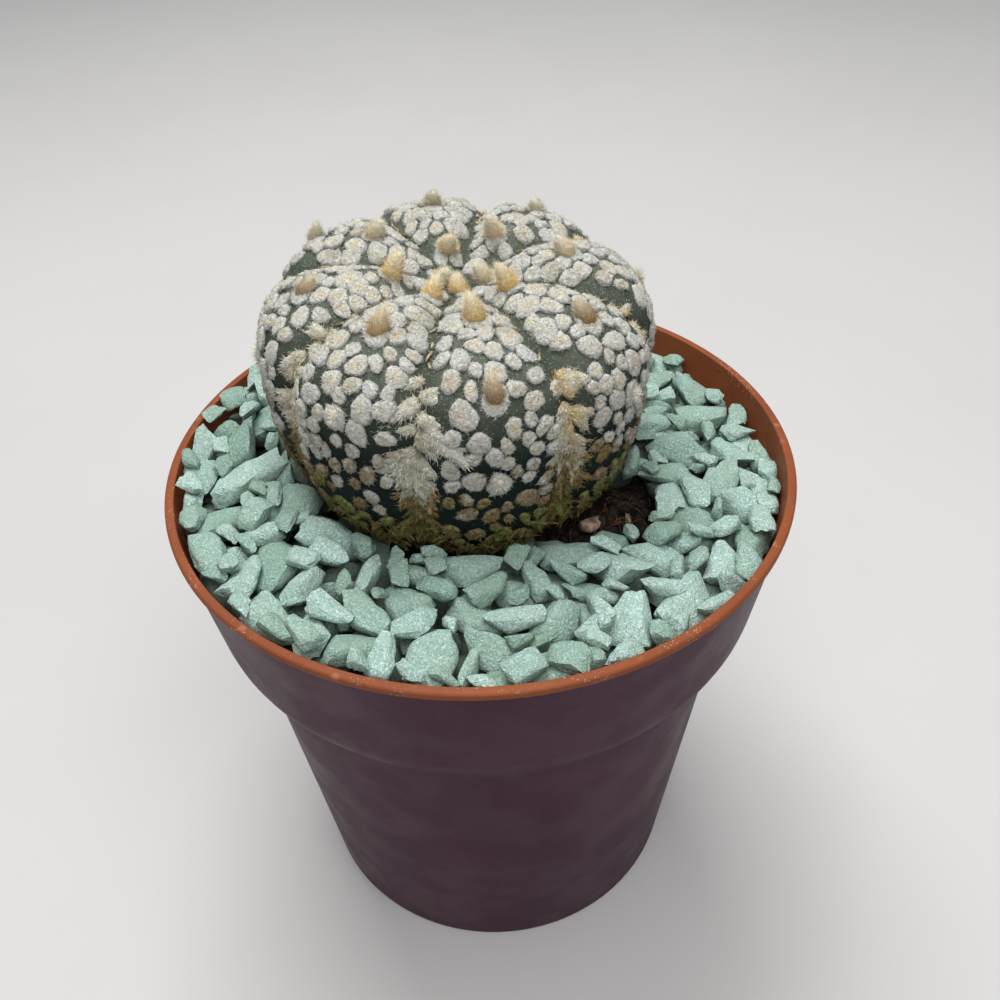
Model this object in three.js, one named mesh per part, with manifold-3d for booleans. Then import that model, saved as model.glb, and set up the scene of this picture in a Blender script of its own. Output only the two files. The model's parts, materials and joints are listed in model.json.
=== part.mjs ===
// A star cactus with eight broad ribs, white wool flecks and no spines, in a small thin-walled plastic pot
// filled with potting soil and topped with a loose layer of pale green gravel.
// Millimetres, +Z up. The origin is the centre of the pot's foot, and the viewer stands on the -Y side.
import * as THREE from "three";
import { mergeVertices } from "three/addons/utils/BufferGeometryUtils.js";
import Module from "manifold-3d";

const wasm = await Module();
wasm.setup();

// The pot, a round injection-moulded one with a wider collar under its rolled lip
const POT_HEIGHT = 59;
const LIP_RADIUS = 32.5;
const LIP_HEIGHT = 1.9;
const COLLAR_TOP_RADIUS = 31.4;
const COLLAR_FOOT_RADIUS = 30.0;
const COLLAR_FOOT_Z = 44.2;
const STEP_Z = 40.8;
const STEP_RADIUS = 27.2;
const FOOT_RADIUS = 22.7;
const WALL = 0.9;
const FLOOR_Z = 1.4;
const FLOOR_THICKNESS = 1.1;
const FOOT_RING_WIDTH = 1.8;
const POT_SIDES = 44;
const DRAIN_RADIUS = 2.0;
const DRAIN_CIRCLE_RADIUS = 14;
const DRAIN_COUNT = 6;
const DRAIN_SIDES = 12;

// The fill: soil up to a level, then a bed of gravel with single stones on it, round a patch of bare soil
const GAP = 0.35;
const SOIL_TOP_Z = 52.9;
const SOIL_CLEARANCE = 0.75;
const BED_TOP_Z = 54.8;
const GRAVEL_CLEARANCE = 1.9;
const STONE_Z = 55.4;
const STONE_TRIES = 9000;
const STONE_MIN_RADIUS = 1.55;
const STONE_MAX_RADIUS = 2.75;
const STONE_SPACING = 0.86;
const STONE_STRETCH = [1.3, 0.9, 0.85];
const STONE_TILT = 0.55;
const STONE_SEED = 11;
const PLANT_FOOT_RADIUS = 14.2;
const BARE_SOIL_X = 14.6;
const BARE_SOIL_Y = -3.6;
const BARE_SOIL_RADIUS = 3.3;
const BARE_SOIL_SIDES = 12;

// The plant: a flattened globe, widest in its upper third, with a dimpled crown and a short taproot
const RIBS = 8;
const BODY_RADIUS = 19.35;
const CROWN_HEIGHT = 8.9;
const BELLY_DEPTH = 19.8;
const CROWN_POWER = 2.7;
const BELLY_POWER = 2.65;
const CROWN_DIMPLE = 2.5;
const CROWN_DIMPLE_RADIUS = 5.4;
const GROOVE_DEPTH = 0.95;
const GROOVE_WIDTH = 1.5;
const RIB_SWELL = 0.35;
const RIB_COLUMNS = [-1, -0.76, -0.3, 0.3, 0.76];
const GLOBE_ROWS = 14;
const BODY_X = -1.7;
const BODY_Y = 3.1;
const WIDEST_Z = 71;
const LEAN_TO_VIEWER_DEG = 3.7;
const LEAN_TO_RIGHT_DEG = 2.0;
const FRONT_RIB_DEG = 11.4;
const ROOT_TOP_RADIUS = 6;
const ROOT_TIP_RADIUS = 2.2;
const ROOT_TIP_Z = 29;
const ROOT_SIDES = 12;

// Wool: flecks scattered on each rib, a bud of wool on each areole, and a shaggy crust down the grooves
const AREOLE_SPACING = 8.5;
const AREOLE_FIRST_ARC = [0.4, 6.4, 3.2, 7.5, 6.2, 2.0, 6.8, 3.9];
const AREOLE_LAST_ARC = 35;
const BUD_RADIUS = 1.2;
const BUD_HEIGHT = 2.5;
const BUD_SIDES = 6;
const FLECK_SIZES = [1.85, 1.4];
const FLECKS_PER_SIZE = [10, 6];
const FLECK_SIDES = 5;
const FLECK_HEIGHT = 0.5;
const FLECK_ROOT = 0.7;
const FLECK_FIRST_ARC = 4;
const FLECK_LAST_ARC = 41;
const FLECK_TRIES = 500;
const FLECK_SEED = 5;
const BARE_BAND_AT_CROWN = 0.55;
const BARE_BAND_ON_FLANK = 2.5;
const CRUST_FIRST_ARC = 23;
const CRUST_LAST_ARC = 39.5;
const CRUST_STEP = 4.1;
const CRUST_WIDTH = 1.6;
const CRUST_SEED = 71;

// A small linear congruential generator, so that every run draws the same numbers
function drawFrom(seed) {
  let state = seed;
  return () => {
    state = (state * 1664525 + 1013904223) % 4294967296;
    return state / 4294967296;
  };
}

function stripped(geometry) {
  geometry.deleteAttribute("normal");
  geometry.deleteAttribute("uv");
  return mergeVertices(geometry, 1e-4);
}

function toSolid(geometry) {
  const merged = stripped(geometry);
  return new wasm.Manifold(
    new wasm.Mesh({
      numProp: 3,
      vertProperties: merged.attributes.position.array,
      triVerts: new Uint32Array(merged.index.array),
    }),
  );
}

// Joining many small pieces can seal a tiny hollow, which is filled, or leave a loose scrap, which is dropped
function largestBody(solid) {
  return solid.decompose().reduce((best, body) => (body.volume() > best.volume() ? body : best));
}

function toGeometry(solid) {
  const mesh = solid.getMesh();
  const positions = new Float32Array(mesh.numVert * 3);
  for (let i = 0; i < mesh.numVert; i++)
    positions.set(mesh.vertProperties.subarray(i * mesh.numProp, i * mesh.numProp + 3), i * 3);
  const geometry = new THREE.BufferGeometry();
  geometry.setAttribute("position", new THREE.BufferAttribute(positions, 3));
  geometry.setIndex(new THREE.BufferAttribute(mesh.triVerts, 1));
  return geometry;
}

// Turns [radius, z] pairs into a solid of revolution about Z
function turned(profile, sides = POT_SIDES) {
  const points = profile.map(([radius, z]) => new THREE.Vector2(radius, z));
  return new THREE.LatheGeometry(points, sides).rotateX(Math.PI / 2);
}

function makeMesh(name, solid, look) {
  const mesh = new THREE.Mesh(toGeometry(solid), new THREE.MeshStandardMaterial(look));
  mesh.name = name;
  return mesh;
}

// The pot's outer radius at a height, straight between its corners
function potRadiusAt(z) {
  const { mapLinear } = THREE.MathUtils;
  if (z < STEP_Z) return mapLinear(z, 0, STEP_Z, FOOT_RADIUS, STEP_RADIUS);
  if (z < COLLAR_FOOT_Z) return mapLinear(z, STEP_Z, COLLAR_FOOT_Z, STEP_RADIUS, COLLAR_FOOT_RADIUS);
  return mapLinear(z, COLLAR_FOOT_Z, POT_HEIGHT, COLLAR_FOOT_RADIUS, COLLAR_TOP_RADIUS);
}

function makePot() {
  const lipFoot = POT_HEIGHT - LIP_HEIGHT;
  const shell = toSolid(
    turned([
      [0, FLOOR_Z],
      [FOOT_RADIUS - FOOT_RING_WIDTH, FLOOR_Z],
      [FOOT_RADIUS - FOOT_RING_WIDTH, 0],
      [FOOT_RADIUS - 0.4, 0],
      [FOOT_RADIUS, 0.6],
      [STEP_RADIUS, STEP_Z],
      [STEP_RADIUS + 0.45, STEP_Z + 0.9],
      [COLLAR_FOOT_RADIUS - 0.55, COLLAR_FOOT_Z - 1.2],
      [COLLAR_FOOT_RADIUS, COLLAR_FOOT_Z],
      [potRadiusAt(lipFoot), lipFoot],
      [LIP_RADIUS, lipFoot + 0.5],
      [LIP_RADIUS, POT_HEIGHT - 0.6],
      [LIP_RADIUS - 0.45, POT_HEIGHT],
      [LIP_RADIUS - 1.35, POT_HEIGHT],
      [LIP_RADIUS - 1.85, POT_HEIGHT - 0.45],
      [potRadiusAt(lipFoot) - WALL, lipFoot - 0.3],
      [COLLAR_FOOT_RADIUS - WALL, COLLAR_FOOT_Z],
      [STEP_RADIUS - WALL, STEP_Z],
      [FOOT_RADIUS - WALL, FLOOR_Z + FLOOR_THICKNESS],
      [0, FLOOR_Z + FLOOR_THICKNESS],
    ]),
  );
  const drains = [];
  for (let i = 0; i <= DRAIN_COUNT; i++) {
    const angle = (i * 2 * Math.PI) / DRAIN_COUNT;
    const reach = i === DRAIN_COUNT ? 0 : DRAIN_CIRCLE_RADIUS;
    const hole = new THREE.CylinderGeometry(DRAIN_RADIUS, DRAIN_RADIUS, 6, DRAIN_SIDES)
      .rotateX(Math.PI / 2)
      .translate(reach * Math.cos(angle), reach * Math.sin(angle), FLOOR_Z);
    drains.push(toSolid(hole));
  }
  return shell.subtract(wasm.Manifold.union(drains));
}

// The globe before its ribs: radius and height about the widest level, from the crown (0) to the base (1)
function globeAt(share) {
  const angle = Math.PI * (0.5 - share);
  const upper = angle >= 0;
  const power = upper ? CROWN_POWER : BELLY_POWER;
  const radius = BODY_RADIUS * Math.abs(Math.cos(angle)) ** (2 / power);
  const rise = Math.abs(Math.sin(angle)) ** (2 / power);
  const dimple = CROWN_DIMPLE * Math.exp(-((radius / CROWN_DIMPLE_RADIUS) ** 2));
  return upper ? [radius, CROWN_HEIGHT * rise - dimple] : [radius, -BELLY_DEPTH * rise];
}

// The same line measured along its length: arc from the crown in mm, then radius, height and outward normal
const GLOBE_STEPS = 600;
const globeLine = [];
for (let i = 0, arc = 0; i <= GLOBE_STEPS; i++) {
  const [radius, height] = globeAt(i / GLOBE_STEPS);
  if (i) arc += Math.hypot(radius - globeLine[i - 1].radius, height - globeLine[i - 1].height);
  globeLine.push({ arc, radius: i === GLOBE_STEPS ? 0 : radius, height });
}
const GLOBE_ARC = globeLine[GLOBE_STEPS].arc;

function globeByArc(arc) {
  const found = globeLine.findIndex((p) => p.arc >= arc);
  const i = Math.max(1, found < 0 ? GLOBE_STEPS : found);
  const a = globeLine[i - 1];
  const b = globeLine[i];
  const t = THREE.MathUtils.clamp((arc - a.arc) / (b.arc - a.arc), 0, 1);
  const length = Math.hypot(b.radius - a.radius, b.height - a.height);
  return {
    radius: a.radius + (b.radius - a.radius) * t,
    height: a.height + (b.height - a.height) * t,
    out: (a.height - b.height) / length,
    up: (b.radius - a.radius) / length,
  };
}

// A point on the ribbed skin. turn is the angle from the front rib's middle, and lift is along the normal.
function onSkin(arc, turn, lift = 0) {
  const line = globeByArc(arc);
  const ribTurn = Math.PI / RIBS;
  const fromMiddle = Math.abs(((turn / ribTurn + 1) % 2 + 2) % 2 - 1);
  const fromGroove = (1 - fromMiddle) * ribTurn * line.radius;
  const fade = Math.min(1, line.radius / CROWN_DIMPLE_RADIUS);
  const groove = GROOVE_DEPTH * fade * Math.exp(-((fromGroove / GROOVE_WIDTH) ** 2));
  const swell = RIB_SWELL * fade * (1 - fromMiddle * fromMiddle);
  const push = lift + swell - groove;
  const radius = line.radius + line.out * push;
  return new THREE.Vector3(radius * Math.sin(turn), -radius * Math.cos(turn), line.height + line.up * push);
}

function normalAt(arc, turn) {
  return onSkin(arc, turn, 1).sub(onSkin(arc, turn, 0)).normalize();
}

// Puts +Z of a small piece along the skin's normal, its +Y towards the crown, spun by a given angle
function seatOnSkin(arc, turn, lift, spin = 0) {
  const up = normalAt(arc, turn);
  const toCrown = onSkin(arc - 0.2, turn).sub(onSkin(arc + 0.2, turn)).normalize();
  const side = new THREE.Vector3().crossVectors(toCrown, up).normalize();
  toCrown.crossVectors(up, side);
  const seat = new THREE.Matrix4().makeBasis(side, toCrown, up);
  seat.multiply(new THREE.Matrix4().makeRotationZ(spin));
  return seat.setPosition(onSkin(arc, turn, lift));
}

function halfRibWidth(arc) {
  return (Math.PI / RIBS) * globeByArc(arc).radius;
}

// Woolly buds sit along the middle of each rib, evenly spaced, and start nearer the crown on some ribs
function areolesOf(rib) {
  const arcs = [];
  for (let arc = AREOLE_FIRST_ARC[rib]; arc < AREOLE_LAST_ARC; arc += AREOLE_SPACING) arcs.push(arc);
  return arcs;
}

// Flecks are thrown at random on a rib, largest first, and kept where they clear the others and the buds.
// They crowd together round the crown and leave a bare green band along each groove further down.
function flecksOf(rib) {
  const draw = drawFrom(FLECK_SEED + 97 * rib);
  const taken = areolesOf(rib).map((arc) => ({ arc, across: 0, size: BUD_RADIUS }));
  const flecks = [];
  FLECK_SIZES.forEach((base, level) => {
    let kept = 0;
    for (let n = 0; n < FLECK_TRIES && kept < FLECKS_PER_SIZE[level]; n++) {
      const arc = THREE.MathUtils.lerp(FLECK_FIRST_ARC, FLECK_LAST_ARC, draw());
      const half = halfRibWidth(arc);
      const across = half * (2 * draw() - 1);
      const size = base * (0.85 + 0.3 * draw());
      const spin = Math.PI * draw();
      const shape = draw();
      const onFlank = THREE.MathUtils.smoothstep(arc, 12, 24);
      const band = THREE.MathUtils.lerp(BARE_BAND_AT_CROWN, BARE_BAND_ON_FLANK, onFlank);
      if (half - Math.abs(across) < Math.min(band, 0.45 * half)) continue;
      const touches = (other) => Math.hypot(other.arc - arc, other.across - across) < other.size + size + 0.1;
      if (taken.some(touches)) continue;
      const fleck = { arc, across, size, spin, shape };
      taken.push(fleck);
      flecks.push(fleck);
      kept++;
    }
  });
  return flecks;
}

// One fleck is a low pad with an uneven, many-sided outline and its foot sunk in the skin
function fleckSolid(fleck, turn) {
  const draw = drawFrom(1 + Math.floor(fleck.shape * 1e6));
  const stretch = 1 + 0.25 * draw();
  const corners = Array.from({ length: FLECK_SIDES }, (_, i) => {
    const angle = (i * 2 * Math.PI) / FLECK_SIDES;
    const reach = fleck.size * (0.9 + 0.25 * draw());
    return new THREE.Vector2(reach * stretch * Math.cos(angle), (reach / stretch) * Math.sin(angle));
  });
  const pad = new THREE.ExtrudeGeometry(new THREE.Shape(corners), {
    depth: FLECK_ROOT + FLECK_HEIGHT,
    bevelEnabled: false,
  });
  pad.translate(0, 0, -FLECK_ROOT);
  return toSolid(pad.applyMatrix4(seatOnSkin(fleck.arc, turn, 0, fleck.spin)));
}

// A bud of wool is a short blunt cone, smaller on the flank than near the crown
function budSolid(arc, turn) {
  const scale = arc > 20 ? 0.85 : 1;
  const bud = turned([[0, -0.5], [0.9, -0.5], [1, 0.35], [0, 1]], BUD_SIDES);
  bud.scale(BUD_RADIUS * scale, BUD_RADIUS * scale, BUD_HEIGHT * scale);
  return toSolid(bud.applyMatrix4(seatOnSkin(arc, turn, 0)));
}

// A rough angular lump is a block with each of its corners pushed in or out
function lumpSolid(draw, seat, width, length, height) {
  const lump = stripped(new THREE.BoxGeometry(1.5, 1.5, 1.5));
  const position = lump.attributes.position;
  for (let i = 0; i < position.array.length; i++) position.array[i] *= 0.65 + 0.7 * draw();
  return toSolid(lump.scale(width, length, height).applyMatrix4(seat));
}

// Dry shaggy wool lies in scales down each groove, wider towards the soil
function crustSolids(groove) {
  const draw = drawFrom(CRUST_SEED + 31 * groove);
  const scales = [];
  for (let arc = CRUST_FIRST_ARC; arc < CRUST_LAST_ARC; arc += CRUST_STEP) {
    const share = (arc - CRUST_FIRST_ARC) / (CRUST_LAST_ARC - CRUST_FIRST_ARC);
    const shift = (draw() - 0.5) * CRUST_WIDTH;
    const turn = ((groove + 0.5) * 2 * Math.PI) / RIBS + shift / globeByArc(arc).radius;
    const width = CRUST_WIDTH * (1 + 0.6 * share + 0.2 * draw());
    const seat = seatOnSkin(arc, turn, 0.3, 0.5 * (draw() - 0.5));
    scales.push(lumpSolid(draw, seat, width, CRUST_WIDTH, 1));
  }
  return scales;
}

// The globe's columns of points stand closer together beside the grooves
function ribbedGlobe() {
  const columns = RIB_COLUMNS.length;
  const line = Array.from({ length: GLOBE_ROWS + 1 }, (_, i) => globeByArc((GLOBE_ARC * i) / GLOBE_ROWS));
  const ends = line.map((p, i) => [i % GLOBE_ROWS ? p.radius : 0, p.height]);
  const globe = turned(ends.reverse(), RIBS * columns);
  const position = globe.attributes.position;
  for (let i = 0; i < position.count; i++) {
    const row = GLOBE_ROWS - (i % (GLOBE_ROWS + 1));
    if (row % GLOBE_ROWS === 0) continue;
    const column = Math.floor(i / (GLOBE_ROWS + 1)) % (RIBS * columns);
    const turn = ((Math.floor(column / columns) + 0.5 * RIB_COLUMNS[column % columns]) * 2 * Math.PI) / RIBS;
    const p = onSkin((GLOBE_ARC * row) / GLOBE_ROWS, turn);
    position.setXYZ(i, p.x, p.y, p.z);
  }
  return toSolid(globe);
}

function taproot(grow) {
  const top = -BELLY_DEPTH + 2;
  const tip = ROOT_TIP_Z - WIDEST_Z - grow;
  const cone = [[0, tip], [ROOT_TIP_RADIUS + grow, tip], [ROOT_TOP_RADIUS + grow, top], [0, top]];
  return toSolid(turned(cone, ROOT_SIDES));
}

function makeCactus() {
  const pieces = [ribbedGlobe(), taproot(0)];
  for (let rib = 0; rib < RIBS; rib++) {
    const middle = (rib * 2 * Math.PI) / RIBS;
    for (const fleck of flecksOf(rib))
      pieces.push(fleckSolid(fleck, middle + fleck.across / globeByArc(fleck.arc).radius));
    for (const arc of areolesOf(rib)) pieces.push(budSolid(arc, middle));
    pieces.push(...crustSolids(rib));
  }
  return largestBody(wasm.Manifold.union(pieces));
}

// The plant's own frame, tilted a little towards the viewer and turned so that a rib faces front
const plantSeat = new THREE.Object3D();
plantSeat.position.set(BODY_X, BODY_Y, WIDEST_Z);
plantSeat.rotation.set(
  THREE.MathUtils.degToRad(LEAN_TO_VIEWER_DEG),
  THREE.MathUtils.degToRad(LEAN_TO_RIGHT_DEG),
  THREE.MathUtils.degToRad(FRONT_RIB_DEG),
  "YXZ",
);
plantSeat.updateMatrixWorld(true);

// A plain round hollow that clears the plant by a given margin
const HOLLOW_ROWS = 16;
const HOLLOW_SIDES = 24;

function plantHollow(margin) {
  const profile = [[0, -BELLY_DEPTH - margin]];
  for (let i = HOLLOW_ROWS - 1; i > 0; i--) {
    const line = globeByArc((GLOBE_ARC * i) / HOLLOW_ROWS);
    profile.push([line.radius + line.out * margin, line.height + line.up * margin]);
  }
  profile.push([0, CROWN_HEIGHT]);
  const globe = toSolid(turned(profile, HOLLOW_SIDES));
  return wasm.Manifold.union([globe, taproot(margin)]).transform(plantSeat.matrixWorld.elements);
}

// What fits inside the pot between two heights, clear of its wall
function insidePot(low, high) {
  const at = (z) => potRadiusAt(z) - WALL - GAP;
  const between = [STEP_Z, COLLAR_FOOT_Z].filter((z) => z > low && z < high).map((z) => [at(z), z]);
  return turned([[0, low], [at(low), low], ...between, [at(high), high], [0, high]]);
}

function makeSoil() {
  const fill = insidePot(FLOOR_Z + FLOOR_THICKNESS + GAP, SOIL_TOP_Z);
  return toSolid(fill).subtract(plantHollow(SOIL_CLEARANCE));
}

// The gravel lies a little higher towards the back left, and dips round the plant
function stoneLevel(x, y) {
  const heap = Math.exp(-((x + 24) ** 2 + (y - 14) ** 2) / 160);
  const dip = Math.exp(-(((Math.hypot(x - BODY_X, y - BODY_Y) - PLANT_FOOT_RADIUS + 1.2) / 4) ** 2));
  return STONE_Z + 1.1 * (heap - dip);
}

// Stones are thrown at random, large ones first, and kept where they clear the wall, the plant, the patch
// of bare soil and each other
function gravelStones() {
  const draw = drawFrom(STONE_SEED);
  const wall = potRadiusAt(STONE_Z) - WALL;
  const stones = [];
  for (let n = 0; n < STONE_TRIES; n++) {
    const small = Math.min(1, (3 * n) / STONE_TRIES) * (0.5 + 0.5 * draw());
    const size = THREE.MathUtils.lerp(STONE_MAX_RADIUS, STONE_MIN_RADIUS, small);
    const x = wall * (2 * draw() - 1);
    const y = wall * (2 * draw() - 1);
    const turns = [draw(), draw(), draw()];
    if (Math.hypot(x, y) > wall - 0.75 * size) continue;
    if (Math.hypot(x - BODY_X, y - BODY_Y) < PLANT_FOOT_RADIUS + 0.5 * size) continue;
    if (Math.hypot(x - BARE_SOIL_X, y - BARE_SOIL_Y) < BARE_SOIL_RADIUS + 0.6 * size) continue;
    const touches = (other) => Math.hypot(other.x - x, other.y - y) < STONE_SPACING * (other.size + size);
    if (!stones.some(touches)) stones.push({ x, y, size, turns });
  }
  return stones;
}

function stoneSolid({ x, y, size, turns }) {
  const draw = drawFrom(1 + Math.floor(turns[0] * 1e6));
  const tilts = [turns[1], turns[2]].map((turn) => STONE_TILT * (2 * turn - 1));
  const seat = new THREE.Matrix4().makeRotationFromEuler(
    new THREE.Euler(tilts[0], tilts[1], 2 * Math.PI * turns[0], "YXZ"),
  );
  seat.setPosition(x, y, stoneLevel(x, y) + 0.25 * (size - STONE_MIN_RADIUS));
  const [length, width, height] = STONE_STRETCH.map((stretch) => stretch * size);
  return lumpSolid(draw, seat, length, width, height);
}

function makeGravel() {
  const low = SOIL_TOP_Z + GAP;
  const bed = toSolid(insidePot(low, BED_TOP_Z));
  const bareSoil = toSolid(
    new THREE.CylinderGeometry(BARE_SOIL_RADIUS, BARE_SOIL_RADIUS, 20, BARE_SOIL_SIDES)
      .rotateX(Math.PI / 2)
      .translate(BARE_SOIL_X, BARE_SOIL_Y, BED_TOP_Z),
  );
  const heap = wasm.Manifold.union([bed.subtract(bareSoil), ...gravelStones().map(stoneSolid)]);
  const room = toSolid(insidePot(low, POT_HEIGHT + 2));
  return largestBody(heap.intersect(room).subtract(plantHollow(GRAVEL_CLEARANCE)));
}

const pottedCactus = new THREE.Group();
pottedCactus.add(makeMesh("pot", makePot(), { color: 0x8a4a35, roughness: 0.45, metalness: 0 }));
pottedCactus.add(makeMesh("soil", makeSoil(), { color: 0x2a1d16, roughness: 1, metalness: 0 }));
pottedCactus.add(makeMesh("gravel", makeGravel(), { color: 0xa3c9b4, roughness: 0.95, metalness: 0 }));
const cactus = makeMesh("cactus", makeCactus(), { color: 0x4a5a4c, roughness: 0.8, metalness: 0 });
cactus.applyMatrix4(plantSeat.matrixWorld);
pottedCactus.add(cactus);

export default pottedCactus;
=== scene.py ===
# A star cactus in a small plastic pot, dressed with pale green gravel. Metres, +Z up. The viewer of the
# photograph stands on the -Y side. Sizes are written in millimetres and turned into metres by MM.
import json
import math
from collections import defaultdict

import bmesh
import bpy
import numpy as np
from mathutils import Matrix, Vector, noise

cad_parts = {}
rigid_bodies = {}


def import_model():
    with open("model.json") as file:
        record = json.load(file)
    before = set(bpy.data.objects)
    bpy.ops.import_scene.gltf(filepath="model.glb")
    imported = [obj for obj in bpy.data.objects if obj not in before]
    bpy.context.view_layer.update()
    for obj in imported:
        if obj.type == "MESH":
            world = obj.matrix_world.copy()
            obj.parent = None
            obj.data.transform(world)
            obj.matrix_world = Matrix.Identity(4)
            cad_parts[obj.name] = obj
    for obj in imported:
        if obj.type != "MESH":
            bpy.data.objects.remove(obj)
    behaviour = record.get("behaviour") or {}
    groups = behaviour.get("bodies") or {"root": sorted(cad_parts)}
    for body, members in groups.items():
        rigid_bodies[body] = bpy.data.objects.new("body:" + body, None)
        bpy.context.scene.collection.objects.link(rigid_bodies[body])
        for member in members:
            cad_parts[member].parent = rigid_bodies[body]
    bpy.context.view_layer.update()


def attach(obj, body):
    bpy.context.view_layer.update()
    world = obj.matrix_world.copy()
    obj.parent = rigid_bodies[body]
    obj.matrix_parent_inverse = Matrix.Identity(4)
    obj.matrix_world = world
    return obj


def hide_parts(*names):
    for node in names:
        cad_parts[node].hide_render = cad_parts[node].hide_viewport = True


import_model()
MM = 0.001

# Stage. A plain pale floor under soft studio light that falls from above and a little behind. The camera
# stands where the photograph was taken: close, 40 degrees above the horizon, and rolled a little.
CAMERA_PITCH = math.radians(40.56)
CAMERA_ROLL = math.radians(-2.1)
CAMERA_DISTANCE = 114.2 * MM
CAMERA_TARGET = Vector((1.92, 0, 52.06)) * MM
CAMERA_LENS = 37.53
FLOOR_SIDE = 4.0
FLOOR_COLOR = (0.53, 0.52, 0.51)
FLOOR_SHADE = 0.97
SKY_COLOR = (0.93, 0.96, 1.0, 1)
SKY_STRENGTH = 0.28
LIGHTS = [("window", (-0.06, 0.16, 0.54), 0.28, 2.5), ("ceiling", (0.05, -0.22, 0.52), 0.45, 2.3)]


def add_node(tree, kind, inputs=None, **settings):
    """Adds a node. Each of its inputs is given as another node's output or as a plain value."""
    made = tree.nodes.new(kind)
    for name, value in settings.items():
        setattr(made, name, value)
    for name, value in (inputs or {}).items():
        if isinstance(value, bpy.types.NodeSocket):
            tree.links.new(value, made.inputs[name])
        else:
            made.inputs[name].default_value = value
    return made


def calculated(tree, operation, *values, **settings):
    """The result of one calculation with outputs and plain numbers."""
    inputs = dict(enumerate(values))
    return add_node(tree, "ShaderNodeMath", inputs, operation=operation, **settings).outputs["Value"]


def product(tree, first, second):
    """One value times another."""
    return calculated(tree, "MULTIPLY", first, second)


def ranged(tree, value, from_range=(0, 1), to_range=(0, 1), **settings):
    """A value stretched from one range to another, and kept inside it."""
    ends = dict(zip(("From Min", "From Max", "To Min", "To Max"), (*from_range, *to_range)))
    return add_node(tree, "ShaderNodeMapRange", {"Value": value, **ends}, **settings).outputs["Result"]


def new_group(name, inputs, output):
    """A shader node group of plain numbers: the group, its inputs, the place on the object and its end."""
    group = bpy.data.node_groups.new(name, "ShaderNodeTree")
    for socket, value in inputs.items():
        made = group.interface.new_socket(socket, in_out="INPUT", socket_type="NodeSocketFloat")
        made.default_value = value
    group.interface.new_socket(output, in_out="OUTPUT", socket_type="NodeSocketFloat")
    given = group.nodes.new("NodeGroupInput").outputs
    place = add_node(group, "ShaderNodeTexCoord").outputs["Object"]
    return group, given, place, group.nodes.new("NodeGroupOutput").inputs[output]


mottle, given, place, end = new_group("Mottle", {"Scale": 500.0, "Low": 0.35, "High": 0.65}, "Value")
cloud = add_node(
    mottle, "ShaderNodeTexNoise", {"Vector": place, "Scale": given["Scale"], "Detail": 4, "Roughness": 0.6}
).outputs["Fac"]
mottle.links.new(ranged(mottle, cloud, (given["Low"], given["High"]), interpolation_type="SMOOTHSTEP"), end)

specks, given, place, end = new_group("Specks", {"Scale": 900.0, "Size": 0.25, "Share": 0.4}, "Mask")
cells = add_node(specks, "ShaderNodeTexVoronoi", {"Vector": place, "Scale": given["Scale"]}).outputs
dot = ranged(specks, cells["Distance"], (given["Size"], 0), interpolation_type="SMOOTHSTEP")
lot = add_node(specks, "ShaderNodeSeparateColor", {"Color": cells["Color"]}).outputs["Red"]
specks.links.new(product(specks, dot, calculated(specks, "LESS_THAN", lot, given["Share"])), end)


def mottled(tree, scale, low=0.35, high=0.65):
    """A cloudy value from 0 to 1."""
    inputs = {"Scale": scale, "Low": low, "High": high}
    return add_node(tree, "ShaderNodeGroup", inputs, node_tree=mottle).outputs["Value"]


def speckled(tree, scale, size, share):
    """A mask of small round dots, on the given share of the pattern's cells."""
    inputs = {"Scale": scale, "Size": size, "Share": share}
    return add_node(tree, "ShaderNodeGroup", inputs, node_tree=specks).outputs["Mask"]


def blended(tree, factor, below, above, mode="MIX"):
    """Mixes two colours, each given as an output or as three numbers."""
    inputs = {0: factor}
    for socket, color in ((6, below), (7, above)):
        inputs[socket] = color if isinstance(color, bpy.types.NodeSocket) else (*color, 1)
    return add_node(tree, "ShaderNodeMix", inputs, data_type="RGBA", blend_type=mode).outputs[2]


def new_material(name, roughness=1.0, specular=0.0):
    """A material with its node tree and its Principled BSDF, whose plain values sit on its own sockets."""
    material = bpy.data.materials.new(name)
    material.use_nodes = True
    surface = material.node_tree.nodes["Principled BSDF"]
    surface.inputs["Roughness"].default_value = roughness
    surface.inputs["Specular IOR Level"].default_value = specular
    return material, material.node_tree, surface


def paint(tree, surface, color, bumps=()):
    """Gives a surface its colour and a chain of bumps: (height output, strength, depth in millimetres)."""
    tree.links.new(color, surface.inputs["Base Color"])
    end = surface.inputs["Normal"]
    for height, strength, depth in reversed(bumps):
        inputs = {"Height": height, "Strength": strength, "Distance": depth * MM}
        bump = add_node(tree, "ShaderNodeBump", inputs)
        tree.links.new(bump.outputs["Normal"], end)
        end = bump.inputs["Normal"]


def new_object(name, data):
    """An object in the scene, at the origin."""
    made = bpy.data.objects.new(name, data)
    bpy.context.scene.collection.objects.link(made)
    return made


def mesh_object(name, points, faces, material, smooth=True):
    """An object at the origin from points in millimetres and lists of their indices."""
    mesh = bpy.data.meshes.new(name)
    mesh.from_pydata((np.asarray(points, float) * MM).tolist(), [], [list(map(int, face)) for face in faces])
    mesh.materials.append(material)
    if smooth:
        mesh.shade_smooth()
    return new_object(name, mesh)


paper, tree, surface = new_material("pale_floor", roughness=0.9, specular=0.5)
dim_color = [FLOOR_SHADE * part for part in FLOOR_COLOR]
paint(tree, surface, blended(tree, mottled(tree, 9), FLOOR_COLOR, dim_color))
half = FLOOR_SIDE / 2 / MM
corners = [(-half, -half, 0), (half, -half, 0), (half, half, 0), (-half, half, 0)]
floor = mesh_object("floor", corners, [(0, 1, 2, 3)], paper, smooth=False)

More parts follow.
